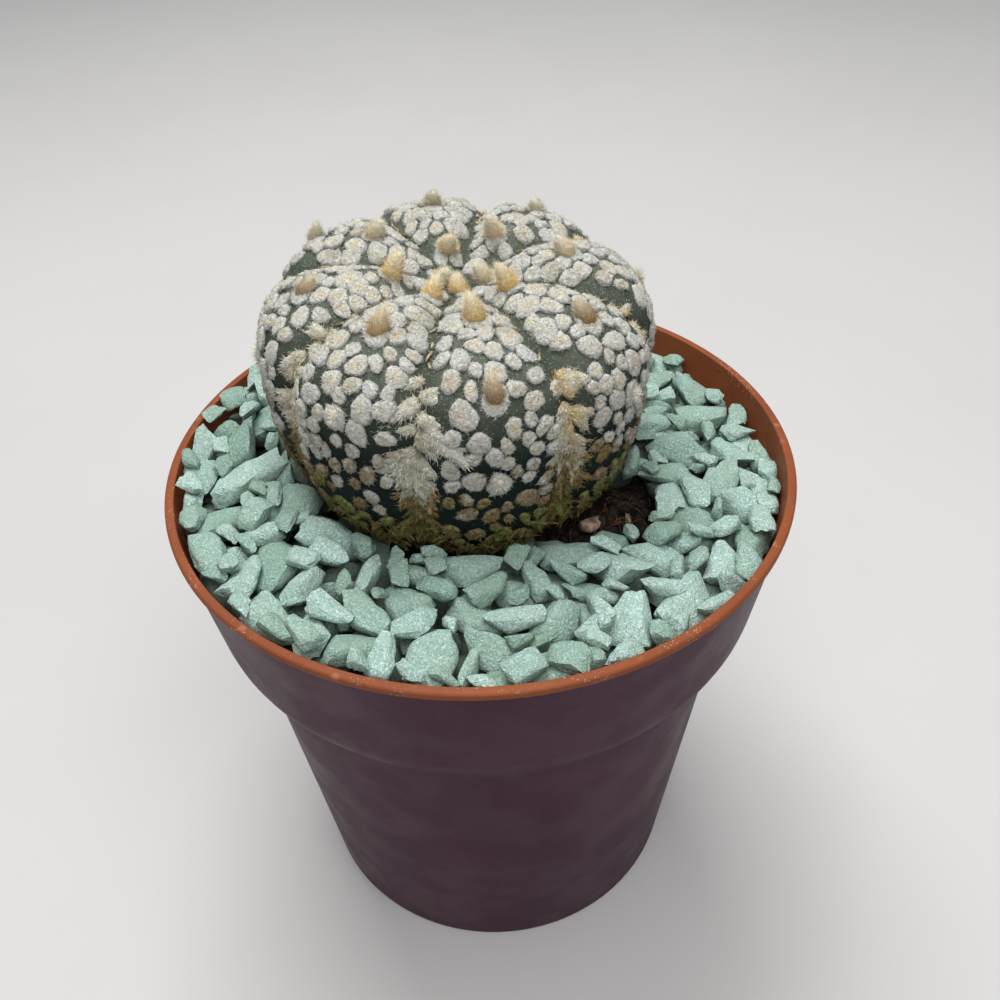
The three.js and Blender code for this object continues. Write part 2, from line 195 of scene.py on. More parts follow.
world = bpy.data.worlds.new("studio")
world.use_nodes = True
sky = world.node_tree.nodes["Background"].inputs
sky["Color"].default_value = SKY_COLOR
sky["Strength"].default_value = SKY_STRENGTH
bpy.context.scene.world = world
bpy.context.scene.view_settings.view_transform = "Standard"

for name, place, side, watts in LIGHTS:
    lamp = new_object(name, bpy.data.lights.new(name, "AREA"))
    lamp.data.size = side
    lamp.data.energy = watts
    lamp.location = place
    lamp.rotation_euler = (CAMERA_TARGET - Vector(place)).to_track_quat("-Z", "Y").to_euler()

camera = new_object("camera", bpy.data.cameras.new("camera"))
camera.data.lens = CAMERA_LENS
camera.data.clip_start = 5 * MM
back = Vector((0, -math.cos(CAMERA_PITCH), math.sin(CAMERA_PITCH)))
camera.location = CAMERA_TARGET + CAMERA_DISTANCE * back
turned = Matrix.Rotation(math.pi / 2 - CAMERA_PITCH, 3, "X") @ Matrix.Rotation(CAMERA_ROLL, 3, "Z")
camera.rotation_euler = turned.to_euler()
bpy.context.scene.camera = camera

# Pot. One thin-walled piece of terracotta-coloured plastic, injection moulded: a rolled lip, a wider
# collar, a soft step under it, a tapered body, a raised floor with drain holes and a ring to stand on.
POT_HEIGHT = 59
LIP_RADIUS = 32.5
LIP_HEIGHT = 0.9
LIP_GROOVE = 0.03
LIP_WALL = 0.5
COLLAR_TOP_RADIUS = 32.1
COLLAR_FOOT_RADIUS = 30.0
COLLAR_FOOT_Z = 44.2
STEP_Z = 40.8
STEP_RADIUS = 27.2
FOOT_RADIUS = 22.7
WALL = 0.9
FLOOR_Z = 1.4
FLOOR_THICKNESS = 1.1
FOOT_RING_WIDTH = 1.8
POT_SIDES = 168
DRAIN_RADIUS = 2.0
DRAIN_CIRCLE_RADIUS = 14
DRAIN_COUNT = 6
DRILL_LENGTH = 6
DOUBLED_WITHIN = 0.004
TOO_SHORT = 0.002
PLASTIC_EDGE = math.radians(50)


def rounded_line(corners, steps=5):
    """The line through (radius, height, fillet) corners, with each corner rounded by its own fillet."""
    line = [corners[0][:2]]
    for before, corner, after in zip(corners, corners[1:], corners[2:]):
        here = np.array(corner[:2])
        back, ahead = np.array(before[:2]) - here, np.array(after[:2]) - here
        reach = min(corner[2], 0.45 * np.hypot(*back), 0.45 * np.hypot(*ahead))
        start, end = here + back / np.hypot(*back) * reach, here + ahead / np.hypot(*ahead) * reach
        for t in np.linspace(0, 1, steps):
            line.append(tuple((1 - t) ** 2 * start + 2 * t * (1 - t) * here + t**2 * end))
    return line + [corners[-1][:2]]


def ring_faces(start, rings, sides, mirrored=False):
    """Faces of a closed solid of rings of points. Its two poles come after them, the first ring's first."""
    faces = []
    poles = start + rings * sides
    last = poles - sides
    for a in range(start, last, sides):
        b = a + sides
        for i in range(sides):
            j = (i + 1) % sides
            faces.append((a + i, b + i, b + j, a + j) if mirrored else (a + i, a + j, b + j, b + i))
    for i in range(sides):
        j = (i + 1) % sides
        if mirrored:
            faces.extend([(poles, start + i, start + j), (poles + 1, last + j, last + i)])
        else:
            faces.extend([(last + i, last + j, poles + 1), (start + j, start + i, poles)])
    return faces


def settle_modifiers(made):
    """Turns an object with live modifiers into one with a plain mesh."""
    depsgraph = bpy.context.evaluated_depsgraph_get()
    mesh = bpy.data.meshes.new_from_object(made.evaluated_get(depsgraph))
    made.modifiers.clear()
    made.data = mesh


def pot_radius(z):
    """The pot's outer radius at a height, straight between its corners."""
    heights = [0, STEP_Z, COLLAR_FOOT_Z, POT_HEIGHT]
    return np.interp(z, heights, [FOOT_RADIUS, STEP_RADIUS, COLLAR_FOOT_RADIUS, COLLAR_TOP_RADIUS])


def places_of(made):
    """The places of a mesh's points, in millimetres."""
    places = np.empty(3 * len(made.data.vertices))
    made.data.vertices.foreach_get("co", places)
    return places.reshape(-1, 3) / MM


def store(made, **named_values):
    """Keeps a number or a vector on each point of a mesh, for its material and its hairs."""
    for name, values in named_values.items():
        values = np.asarray(values, float)
        kind, key = ("FLOAT", "value") if values.ndim == 1 else ("FLOAT_VECTOR", "vector")
        made.data.attributes.new(name, kind, "POINT").data.foreach_set(key, values.ravel())


def stored(tree, name):
    """What a mesh keeps on its points under a name, for a material."""
    return add_node(tree, "ShaderNodeAttribute", attribute_name=name).outputs["Fac"]


lip_foot = POT_HEIGHT - LIP_HEIGHT
plastic, tree, surface = new_material("terracotta_plastic", roughness=0.42, specular=0.14)
# The plastic's own terracotta shows on the lip's top and inside; the outer wall gets a dark purple-brown
# painted shade.
wall_shade_color = blended(tree, mottled(tree, 60), (0.060, 0.019, 0.036), (0.050, 0.016, 0.033))
place = add_node(tree, "ShaderNodeTexCoord").outputs["Object"]
height = add_node(tree, "ShaderNodeSeparateXYZ", {"Vector": place}).outputs["Z"]
at_lip = ranged(tree, height, ((lip_foot - 0.05) * MM, lip_foot * MM))
plastic_color = blended(tree, mottled(tree, 90), (0.225, 0.062, 0.021), (0.188, 0.050, 0.018))
shaded_plastic = blended(tree, stored(tree, "outside"), plastic_color, wall_shade_color)
scuffs = product(tree, speckled(tree, 700, 0.42, 0.3), at_lip)
scuffed = blended(tree, product(tree, scuffs, 0.5), shaded_plastic, (0.42, 0.2, 0.12))
dusty = blended(tree, product(tree, speckled(tree, 600, 0.06, 0.2), 0.3), scuffed, (0.5, 0.42, 0.38))
stained = blended(tree, product(tree, speckled(tree, 380, 0.07, 0.2), 0.7), dusty, (0.05, 0.025, 0.02))
grit = product(tree, mottled(tree, 210, 0.48, 0.66), speckled(tree, 3600, 0.45, 0.6))
powdered = blended(tree, product(tree, product(tree, grit, at_lip), 0.6), stained, (0.50, 0.50, 0.42))
paint(tree, surface, powdered, [(mottled(tree, 1800), 0.15, 0.05), (scuffs, 0.4, 0.1)])
tree.links.new(ranged(tree, mottled(tree, 150), to_range=(0.44, 0.56)), surface.inputs["Roughness"])

collar_radius = float(pot_radius(lip_foot))
inner_top = collar_radius - LIP_WALL
pot_line = rounded_line([
    (0, FLOOR_Z, 0),
    (FOOT_RADIUS - FOOT_RING_WIDTH, FLOOR_Z, 0.3),
    (FOOT_RADIUS - FOOT_RING_WIDTH, 0, 0.2),
    (FOOT_RADIUS, 0, 0.6),
    (STEP_RADIUS, STEP_Z, 1.4),
    (COLLAR_FOOT_RADIUS, COLLAR_FOOT_Z, 2.2),
    (collar_radius, lip_foot, 0.15),
    (LIP_RADIUS, lip_foot + 0.12, 0.16),
    (LIP_RADIUS, POT_HEIGHT - 0.18, 0.25),
    (LIP_RADIUS - 0.22, POT_HEIGHT - 0.02, 0.15),
    (LIP_RADIUS - 0.32, POT_HEIGHT - LIP_GROOVE, 0.05),
    (LIP_RADIUS - 0.4, POT_HEIGHT, 0.05),
    (inner_top + 0.1, POT_HEIGHT, 0.12),
    (inner_top, lip_foot, 0.3),
    (inner_top - 0.35, lip_foot - 2.5, 0.6),
    (COLLAR_FOOT_RADIUS - WALL, COLLAR_FOOT_Z, 2),
    (STEP_RADIUS - WALL, STEP_Z, 1.4),
    (FOOT_RADIUS - WALL, FLOOR_Z + FLOOR_THICKNESS, 1),
    (0, FLOOR_Z + FLOOR_THICKNESS, 0),
])
angles = np.linspace(0, 2 * np.pi, POT_SIDES, endpoint=False)
points = [(r * math.cos(a), r * math.sin(a), z) for r, z in pot_line[1:-1] for a in angles]
points += [(0, 0, pot_line[0][1]), (0, 0, pot_line[-1][1])]
pot = mesh_object("pot_shell", points, ring_faces(0, len(pot_line) - 2, POT_SIDES), plastic)
drill = bmesh.new()
for n in range(DRAIN_COUNT + 1):
    angle = n * 2 * math.pi / DRAIN_COUNT
    reach = 0 if n == DRAIN_COUNT else DRAIN_CIRCLE_RADIUS
    spot = Matrix.Translation(Vector((reach * math.cos(angle), reach * math.sin(angle), FLOOR_Z)) * MM)
    bmesh.ops.create_cone(
        drill, cap_ends=True, segments=40, radius1=DRAIN_RADIUS * MM, radius2=DRAIN_RADIUS * MM,
        depth=DRILL_LENGTH * MM, matrix=spot,
    )
drills = new_object("drills", bpy.data.meshes.new("drills"))
drill.to_mesh(drills.data)
drill.free()
holes = pot.modifiers.new("drain_holes", "BOOLEAN")
holes.operation = "DIFFERENCE"
holes.solver = "EXACT"
holes.object = drills
settle_modifiers(pot)
bpy.data.objects.remove(drills)
cleaned = bmesh.new()
cleaned.from_mesh(pot.data)
bmesh.ops.remove_doubles(cleaned, verts=cleaned.verts, dist=DOUBLED_WITHIN * MM)
bmesh.ops.dissolve_degenerate(cleaned, edges=cleaned.edges, dist=TOO_SHORT * MM)
cleaned.to_mesh(pot.data)
cleaned.free()
pot.data.shade_smooth()
pot.data.set_sharp_from_angle(angle=PLASTIC_EDGE)
# The outer wall below the lip's top is marked for its painted shade.
places = places_of(pot)
from_wall = np.hypot(places[:, 0], places[:, 1]) - pot_radius(places[:, 2])
store(pot, outside=(from_wall > -WALL / 2) & (places[:, 2] < lip_foot + 0.06))
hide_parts("pot")
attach(pot, "root")

# Plant. A flattened globe of eight broad ribs with narrow grooves, a dimpled crown and a short taproot.
# The skin is dull grey-green under a dusting of tiny pale hairs. It is one grown piece.
RIBS = 8
BODY_RADIUS = 19.35
CROWN_HEIGHT = 8.9
BELLY_DEPTH = 19.8
CROWN_POWER = 2.7
BELLY_POWER = 2.65
CROWN_DIMPLE = 2.5
CROWN_DIMPLE_RADIUS = 5.4
GROOVE_DEPTH = 0.95
GROOVE_WIDTH = 1.5
GROOVE_SHADE_WIDTH = 0.9
RIB_SWELL = 0.35
SKIN_INSET = 0.45
SKIN_RIPPLE = 0.22
SKIN_AGE_AND_SHADE_FROM = 11
SKIN_AGE_AND_SHADE_SPAN = 14
BODY_PLACE = Vector((-1.7, 3.1, 71)) * MM
LEAN_TO_VIEWER = math.radians(3.7)
LEAN_TO_RIGHT = math.radians(2.0)
FRONT_RIB = math.radians(11.4)
ROOT_TOP_RADIUS = 6
ROOT_TIP_RADIUS = 2.2
ROOT_TIP_Z = -42
LINE_STEPS = 800
SKIN_COLUMNS = RIBS * 28
SKIN_ROWS = 112
WATCH_HEIGHT = -4

seat = (
    Matrix.Translation(BODY_PLACE)
    @ Matrix.Rotation(LEAN_TO_RIGHT, 4, "Y")
    @ Matrix.Rotation(LEAN_TO_VIEWER, 4, "X")
    @ Matrix.Rotation(FRONT_RIB, 4, "Z")
)
half_rib = math.pi / RIBS
angles = np.linspace(np.pi / 2, -np.pi / 2, 2 * LINE_STEPS + 1)
powers = np.where(angles >= 0, CROWN_POWER, BELLY_POWER)
line_radius = BODY_RADIUS * np.abs(np.cos(angles)) ** (2 / powers)
line_radius[[0, -1]] = 0
line_rise = np.abs(np.sin(angles)) ** (2 / powers)
dimple = CROWN_DIMPLE * np.exp(-((line_radius / CROWN_DIMPLE_RADIUS) ** 2))
line_height = np.where(angles >= 0, CROWN_HEIGHT * line_rise - dimple, -BELLY_DEPTH * line_rise)
line_arc = np.concatenate([[0], np.cumsum(np.hypot(np.diff(line_radius), np.diff(line_height)))])
slope_out, slope_up = -np.gradient(line_height, line_arc), np.gradient(line_radius, line_arc)
line_watch = np.arctan2(line_height - WATCH_HEIGHT, line_radius)


def groove_distance(arc, turn):
    """How far a place lies from the nearest groove, along the skin, in millimetres."""
    from_middle = np.abs((turn / half_rib + 1) % 2 - 1)
    return (1 - from_middle) * half_rib * np.interp(arc, line_arc, line_radius)


def on_skin(arc, turn, lift=0.0):
    """Points of the ribbed skin in the plant's own frame: arc from the crown and turn from the front rib."""
    radius, height = np.interp(arc, line_arc, line_radius), np.interp(arc, line_arc, line_height)
    out, up = np.interp(arc, line_arc, slope_out), np.interp(arc, line_arc, slope_up)
    fade = np.minimum(1, radius / CROWN_DIMPLE_RADIUS)
    from_middle = np.abs((turn / half_rib + 1) % 2 - 1)
    groove = GROOVE_DEPTH * fade * np.exp(-((groove_distance(arc, turn) / GROOVE_WIDTH) ** 2))
    push = lift - SKIN_INSET + RIB_SWELL * fade * (1 - from_middle**2) - groove
    r = radius + out * push
    return np.stack([r * np.sin(turn), -r * np.cos(turn), height + up * push], -1)


def in_pot(points):
    """Points in the plant's own frame, in millimetres, moved to where it stands in the pot."""
    rotation, offset = np.array(seat.to_3x3()), np.array(seat.translation) / MM
    return np.asarray(points, float) @ rotation.T + offset


skin, tree, surface = new_material("cactus_skin", roughness=0.62, specular=0.12)
green = blended(tree, mottled(tree, 260), (0.084, 0.097, 0.068), (0.118, 0.134, 0.100))
# Towards the foot the skin darkens with its stored age: partly its own older colour, partly painted shade.
# The grooves get painted shade too.
low_green_and_shade = blended(tree, stored(tree, "age"), green, (0.008, 0.015, 0.013))
shaded = blended(tree, product(tree, stored(tree, "groove"), 0.6), low_green_and_shade, (0.022, 0.028, 0.018))
grains = product(tree, speckled(tree, 4300, 0.36, 0.6), product(tree, stored(tree, "downy"), 0.75))
dusted = blended(tree, grains, shaded, (0.42, 0.46, 0.38))
littered = blended(tree, product(tree, speckled(tree, 1500, 0.17, 0.22), 0.6), dusted, (0.5, 0.48, 0.42))
paint(tree, surface, littered, [(mottled(tree, 700), 0.35, 0.25), (grains, 0.5, 0.06)])

root_arc = float(np.interp(-ROOT_TOP_RADIUS, -line_radius[LINE_STEPS:], line_arc[LINE_STEPS:]))
arcs = np.linspace(0, root_arc, SKIN_ROWS)[1:]
turns = np.linspace(0, 2 * np.pi, SKIN_COLUMNS, endpoint=False)
arc_grid, turn_grid = np.meshgrid(arcs, turns, indexing="ij")
flat_skin = on_skin(arc_grid, turn_grid)
ripple = np.array([[noise.noise(Vector(p) * 0.35) for p in row] for row in flat_skin])
rows = [on_skin(arc_grid, turn_grid, SKIN_RIPPLE * ripple)]
root_top = flat_skin[-1, 0, 2]
for share in np.linspace(0.04, 1, 12):
    radius = ROOT_TOP_RADIUS + (ROOT_TIP_RADIUS - ROOT_TOP_RADIUS) * share
    level = np.full(SKIN_COLUMNS, root_top + (ROOT_TIP_Z - root_top) * share)
    rows.append(np.stack([radius * np.sin(turns), -radius * np.cos(turns), level], -1)[None])
grid = np.concatenate(rows)
points = np.concatenate([grid.reshape(-1, 3), [on_skin(0.0, 0.0), (0, 0, ROOT_TIP_Z)]])
body = mesh_object("plant_body", in_pot(points), ring_faces(0, len(grid), SKIN_COLUMNS, mirrored=True), skin)
root_points = len(points) - arc_grid.size
# The skin's age thins its hairs and darkens it towards the foot, partly as painted shade.
age = np.clip((np.append(arc_grid, np.full(root_points, root_arc)) - SKIN_AGE_AND_SHADE_FROM) / SKIN_AGE_AND_SHADE_SPAN, 0, 1)
age[-2] = 0
in_groove = np.exp(-((groove_distance(arc_grid, turn_grid) / GROOVE_SHADE_WIDTH) ** 2))
store(
    body, age=age, downy=np.clip(1.2 - age * 1.2, 0, 1), shag=np.ones(len(age)),
    groove=np.append(in_groove, np.zeros(root_points)),
)
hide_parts("cactus")
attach(body, "root")

# Skin hairs. Tiny pale hairs lie scattered over the green skin between the flecks.


def new_geometry_tree(name, **inputs):
    """A geometry node tree with named inputs: the tree, the inputs' keys, their outputs in it and its end."""
    tree = bpy.data.node_groups.new(name, "GeometryNodeTree")
    tree.interface.new_socket("Geometry", in_out="OUTPUT", socket_type="NodeSocketGeometry")
    keys = {}
    for socket, kind in {"Geometry": "Geometry", **inputs}.items():
        made = tree.interface.new_socket(socket, in_out="INPUT", socket_type="NodeSocket" + kind)
        keys[socket] = made.identifier
    given = tree.nodes.new("NodeGroupInput").outputs
    return tree, keys, given, tree.nodes.new("NodeGroupOutput").inputs["Geometry"]


def named(tree, name, kind="FLOAT"):
    """What a mesh keeps on its points under a name, for a geometry node tree."""
    read = add_node(tree, "GeometryNodeInputNamedAttribute", {"Name": name}, data_type=kind)
    return read.outputs["Attribute"]


def scattered_points(tree, given, share_name):
    """The node that scatters points on a tree's mesh, as dense as the mesh keeps it under a name."""
    return add_node(tree, "GeometryNodeDistributePointsOnFaces", {
        "Mesh": given["Geometry"], "Density": product(tree, named(tree, share_name), given["Density"]),
        "Seed": given["Seed"],
    })


def random_number(tree, low, high, seed):
    """A number between two ends for each point."""
    inputs = {2: low, 3: high, "Seed": seed}
    return add_node(tree, "FunctionNodeRandomValue", inputs, data_type="FLOAT").outputs[1]


def random_vector(tree, low, high, seed):
    """A vector for each point, with each of its parts between two ends."""
    inputs = {"Min": [low] * 3, "Max": [high] * 3, "Seed": seed}
    return add_node(tree, "FunctionNodeRandomValue", inputs, data_type="FLOAT_VECTOR").outputs["Value"]


def set_copies(tree, given, end, inputs):
    """Ends a tree with copies on its points, as plain faces with the material of its input."""
    copies = add_node(tree, "GeometryNodeInstanceOnPoints", inputs).outputs["Instances"]
    real = add_node(tree, "GeometryNodeRealizeInstances", {"Geometry": copies}).outputs["Geometry"]
    painted = add_node(tree, "GeometryNodeSetMaterial", {"Geometry": real, "Material": given["Material"]})
    tree.links.new(painted.outputs["Geometry"], end)


def run_tree(made, tree, keys, values):
    """Rebuilds an object with a geometry node tree and values for its named inputs."""
    modifier = made.modifiers.new(tree.name, "NODES")
    modifier.node_group = tree
    for socket, value in values.items():
        modifier[keys[socket]] = value
    settle_modifiers(made)


def vector_sum(tree, first, second, factor):
    """The first vector plus the second one times a factor."""
    grown = add_node(tree, "ShaderNodeVectorMath", {0: second, "Scale": factor}, operation="SCALE")
    return add_node(tree, "ShaderNodeVectorMath", {0: first, 1: grown.outputs["Vector"]}).outputs["Vector"]


hair_tree, hair_keys, given, end = new_geometry_tree(
    "coat_of_hairs", Density="Float", Length="Float", Width="Float", Lift="Float", Spread="Float",
    Seed="Int", Material="Material",
)
scattered = scattered_points(hair_tree, given, "downy").outputs
combed = named(hair_tree, "comb", "FLOAT_VECTOR")
lifted = vector_sum(hair_tree, combed, scattered["Normal"], given["Lift"])
ruffled = vector_sum(hair_tree, lifted, random_vector(hair_tree, -1, 1, given["Seed"]), given["Spread"])
aimed = add_node(hair_tree, "FunctionNodeAlignRotationToVector", {"Vector": ruffled}, axis="Z")
hair = add_node(hair_tree, "GeometryNodeMeshCone", {
    "Vertices": 3, "Radius Top": 0, "Radius Bottom": given["Width"], "Depth": given["Length"],
}, fill_type="NONE")
toned = add_node(hair_tree, "GeometryNodeStoreNamedAttribute", {
    "Geometry": scattered["Points"], "Name": "tone", "Value": random_number(hair_tree, 0, 1, 12),
}, data_type="FLOAT", domain="POINT")
set_copies(hair_tree, given, end, {
    "Points": toned.outputs["Geometry"], "Instance": hair.outputs["Mesh"],
    "Rotation": aimed.outputs["Rotation"],
    "Scale": product(hair_tree, random_number(hair_tree, 0.6, 1.25, 7), named(hair_tree, "shag")),
})


def coat_of_hairs(name, host, material, density, length, width, lift, spread, seed):
    """A piece of fine hairs that stand on a host's faces. Density is per square millimetre."""
    made = new_object(name, host.data.copy())
    run_tree(made, hair_tree, hair_keys, {
        "Density": density / MM**2, "Length": length * MM, "Width": width * MM, "Lift": lift,
        "Spread": spread, "Seed": seed, "Material": material,
    })
    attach(made, "root")


down, tree, surface = new_material("pale_down", roughness=0.9)
paint(tree, surface, blended(tree, mottled(tree, 900), (0.42, 0.46, 0.42), (0.62, 0.63, 0.58)))
coat_of_hairs("skin_hairs", body, down, density=9, length=0.2, width=0.013, lift=0.25, spread=0.8, seed=3)

# Flecks. Flat pads of white felt sit close together on the ribs, like cobbles: creamy round the crown,
# greyer on the flanks, and brown to green near the soil. Each one is shaped by its neighbours.
AREOLE_SPACING = 8.5
AREOLE_FIRST_ARC = [1.0, 6.2, 2.8, 7.2, 4.8, 1.6, 6.5, 4.3]
AREOLE_LAST_ARC = 28
AREOLE_PAD = 1.3
AREOLE_SHAG = 1.3
BUD_ROOM = 1.15
FLECK_SEED = 5
FLECK_TRIES = 30000
FLECK_FIRST_ARC = 2.2
FLECK_ARC_SPAN = 39.5
FLECK_AGE_FROM = 25.5
FLECK_AGE_SPAN = 11.5
FLECK_DIRECTIONS = 14
FLECK_REACH = 5.0
FLECK_SPACING = ([2, 7, 14, 20, 28, 34, 42], [1.3, 1.5, 1.62, 1.68, 1.72, 1.95, 2.2])
BARE_BAND = ([8, 12, 15, 18, 30, 42], [0.05, 0.25, 1.1, 1.9, 2.0, 1.3])
FLECK_CAP = ([4, 10, 16, 22, 30, 42], [1.1, 1.1, 0.98, 0.9, 0.76, 0.74])
FLECK_GAP = ([4, 12, 24, 36], [0.09, 0.12, 0.19, 0.4])
FLECK_RINGS = [(0.96, -0.15), (1.03, 0.1), (1.03, 0.28), (0.92, 0.4), (0.7, 0.45), (0.42, 0.47), (0.18, 0.47)]
FLECK_WAVES = [(2, 0.08), (3, 0.11), (5, 0.07)]
JOINED_SHARE = 0.36
JOINED_FROM_ARC = 9
JOINED_OVERLAP = 0.22
SMALLEST_REACH = 0.35

rng = np.random.default_rng(FLECK_SEED)
areoles = []
for rib, first in enumerate(AREOLE_FIRST_ARC):
    for arc in np.arange(first, AREOLE_LAST_ARC, AREOLE_SPACING):
        areoles.append((arc, 2 * half_rib * rib))
spots = [on_skin(arc, turn) for arc, turn in areoles]
sizes = [2 * BUD_ROOM for _ in areoles]
places = list(areoles)
for _ in range(FLECK_TRIES):
    arc = FLECK_FIRST_ARC + FLECK_ARC_SPAN * rng.random()
    turn = 2 * math.pi * rng.random()
    size = np.interp(arc, *FLECK_SPACING) * (0.72 + 0.62 * rng.random() ** 1.4)
    if rng.random() > np.interp(arc, line_arc, line_radius) / BODY_RADIUS:
        continue
    if groove_distance(arc, turn) < np.interp(arc, *BARE_BAND) + 0.42 * size:
        continue
    spot = on_skin(arc, turn)
    if arc > 12 and noise.noise(Vector(spot) * 0.5) < -0.3:
        continue
    apart = np.linalg.norm(np.array(spots) - spot, axis=1)
    if np.all(apart > 0.5 * (np.array(sizes) + size)):
        spots.append(spot)
        sizes.append(size)
        places.append((arc, turn))
spots, sizes, places = np.array(spots), np.array(sizes), np.array(places)
joined = rng.random((len(spots), len(spots))) < JOINED_SHARE
joined |= joined.T

fleck_arcs, fleck_turns = places.T
normals = on_skin(fleck_arcs, fleck_turns, 1.0) - spots
normals /= np.linalg.norm(normals, axis=1, keepdims=True)
sides = np.stack([np.cos(fleck_turns), np.sin(fleck_turns), 0 * fleck_turns], -1)
alongs = np.cross(normals, sides)
bearings = np.linspace(0, 2 * np.pi, FLECK_DIRECTIONS, endpoint=False)
aims = np.stack([np.cos(bearings), np.sin(bearings)], -1)


def fleck_outline(k):
    """How far fleck k reaches in each direction: to its neighbours, to its groove, or to its own size."""
    arc, turn = places[k]
    cap = np.interp(arc, *FLECK_CAP) * sizes[k] / np.interp(arc, *FLECK_SPACING)
    if k < len(areoles):
        cap = AREOLE_PAD
    tilted = bearings - math.pi / 2 - 0.6 * rng.standard_normal()
    long, short = cap * (1.0 + 0.4 * rng.random()), cap * (0.74 + 0.26 * rng.random())
    reach = 1 / np.hypot(np.cos(tilted) / long, np.sin(tilted) / short)
    for waves, depth in FLECK_WAVES:
        reach *= 1 + depth * np.cos(waves * bearings + 2 * math.pi * rng.random())
    for other in np.flatnonzero(np.linalg.norm(spots - spots[k], axis=1) < FLECK_REACH):
        if other == k:
            continue
        to_other = np.array([(spots[other] - spots[k]) @ sides[k], (spots[other] - spots[k]) @ alongs[k]])
        facing = aims @ to_other
        border = (to_other @ to_other + (sizes[k] ** 2 - sizes[other] ** 2) / 4) / 2
        gap = np.interp(arc, *FLECK_GAP)
        if joined[k, other] and arc > JOINED_FROM_ARC and other >= len(areoles):
            gap = -JOINED_OVERLAP
        limit = border / np.maximum(facing, 1e-6) - gap
        reach = np.where(facing > 0, np.minimum(reach, limit), reach)
    offset = (turn + half_rib) % (2 * half_rib) - half_rib
    radius = np.interp(arc, line_arc, line_radius)
    for way in (-1, 1):
        room = max(0.3, (half_rib - way * offset) * radius - 0.6 * np.interp(arc, *BARE_BAND) - 0.12)
        facing = way * aims[:, 0]
        reach = np.where(facing > 0, np.minimum(reach, room / np.maximum(facing, 1e-6)), reach)
    reach = np.maximum(reach, SMALLEST_REACH)
    return (np.roll(reach, 1) + 2 * reach + np.roll(reach, -1)) / 4


def drape(k, offsets, lift):
    """Offsets (to the side, to the crown) from a centre on the skin, laid on the ribbed skin and lifted."""
    flat = spots[k] + offsets[..., :1] * sides[k] + offsets[..., 1:] * alongs[k]
    across = np.hypot(flat[..., 0], flat[..., 1])
    watch = np.arctan2(flat[..., 2] - WATCH_HEIGHT, across)
    arc = np.interp(-watch, -line_watch, line_arc)
    return on_skin(arc, np.arctan2(flat[..., 0], -flat[..., 1]), lift)


def fibre_tones_and_shade(tree, color, low, high):
    """Gives each hair a tone of its own, and paints shade on the wool under the hairs, which takes the
    darkest.
    """
    return blended(tree, 1, color, ranged(tree, stored(tree, "tone"), to_range=(low, high)), "MULTIPLY")


def wool_material(name, heart_color, edge_color, faded_color, rim_color, speck_share, darkest_tone_and_shade, palest):
    """Felted wool: pale, warmer at its heart, browner then greener with age, with tiny black specks."""
    made, tree, surface = new_material(name)
    heart = stored(tree, "heart")
    fresh = blended(tree, product(tree, heart, stored(tree, "tint")), edge_color, heart_color)
    wander = calculated(tree, "MULTIPLY_ADD", mottled(tree, 330), 0.3, -0.15)
    aged = calculated(tree, "ADD", stored(tree, "age"), wander)
    ramp = add_node(tree, "ShaderNodeValToRGB", {"Fac": aged})
    stops = [
        (0.0, (0.78, 0.765, 0.70)), (0.27, faded_color), (0.46, (0.40, 0.27, 0.12)),
        (0.62, (0.34, 0.30, 0.12)), (0.8, (0.30, 0.38, 0.09)), (0.94, (0.37, 0.27, 0.12)),
    ]
    while len(ramp.color_ramp.elements) < len(stops):
        ramp.color_ramp.elements.new(1)
    for element, (position, color) in zip(ramp.color_ramp.elements, stops):
        element.position = position
        element.color = (*color, 1)
    old = ranged(tree, aged, (0.02, 0.3))
    from_heart = calculated(tree, "SUBTRACT", 0.4, heart, use_clamp=True)
    colored = blended(tree, old, fresh, blended(tree, from_heart, ramp.outputs["Color"], rim_color))
    streaks = product(tree, mottled(tree, 2600, 0.46, 0.6), product(tree, old, 0.6))
    streaked = blended(tree, streaks, colored, (0.13, 0.09, 0.045))
    dull = product(tree, mottled(tree, 4200, 0.44, 0.62), 0.5)
    dulled = blended(tree, dull, streaked, (0.55, 0.50, 0.40), "MULTIPLY")
    dots = product(tree, speckled(tree, 2600, 0.3, speck_share), 0.85)
    dotted = blended(tree, dots, dulled, (0.03, 0.028, 0.02))
    bumps = [(mottled(tree, 1500), 0.3, 0.15), (mottled(tree, 4200), 0.72, 0.15)]
    # The wool under its hairs gets painted shade; each hair gets its own tone.
    paint(tree, surface, fibre_tones_and_shade(tree, dotted, darkest_tone_and_shade, palest), bumps)
    return made


def woolly_piece(name, points, faces, material, comb, **values):
    """A piece of wool on the plant, with what its material and its hairs need to know at each point."""
    made = mesh_object(name, in_pot(points), faces, material)
    store(made, comb=np.array(comb) @ np.array(seat.to_3x3()).T, **values)
    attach(made, "root")
    return made


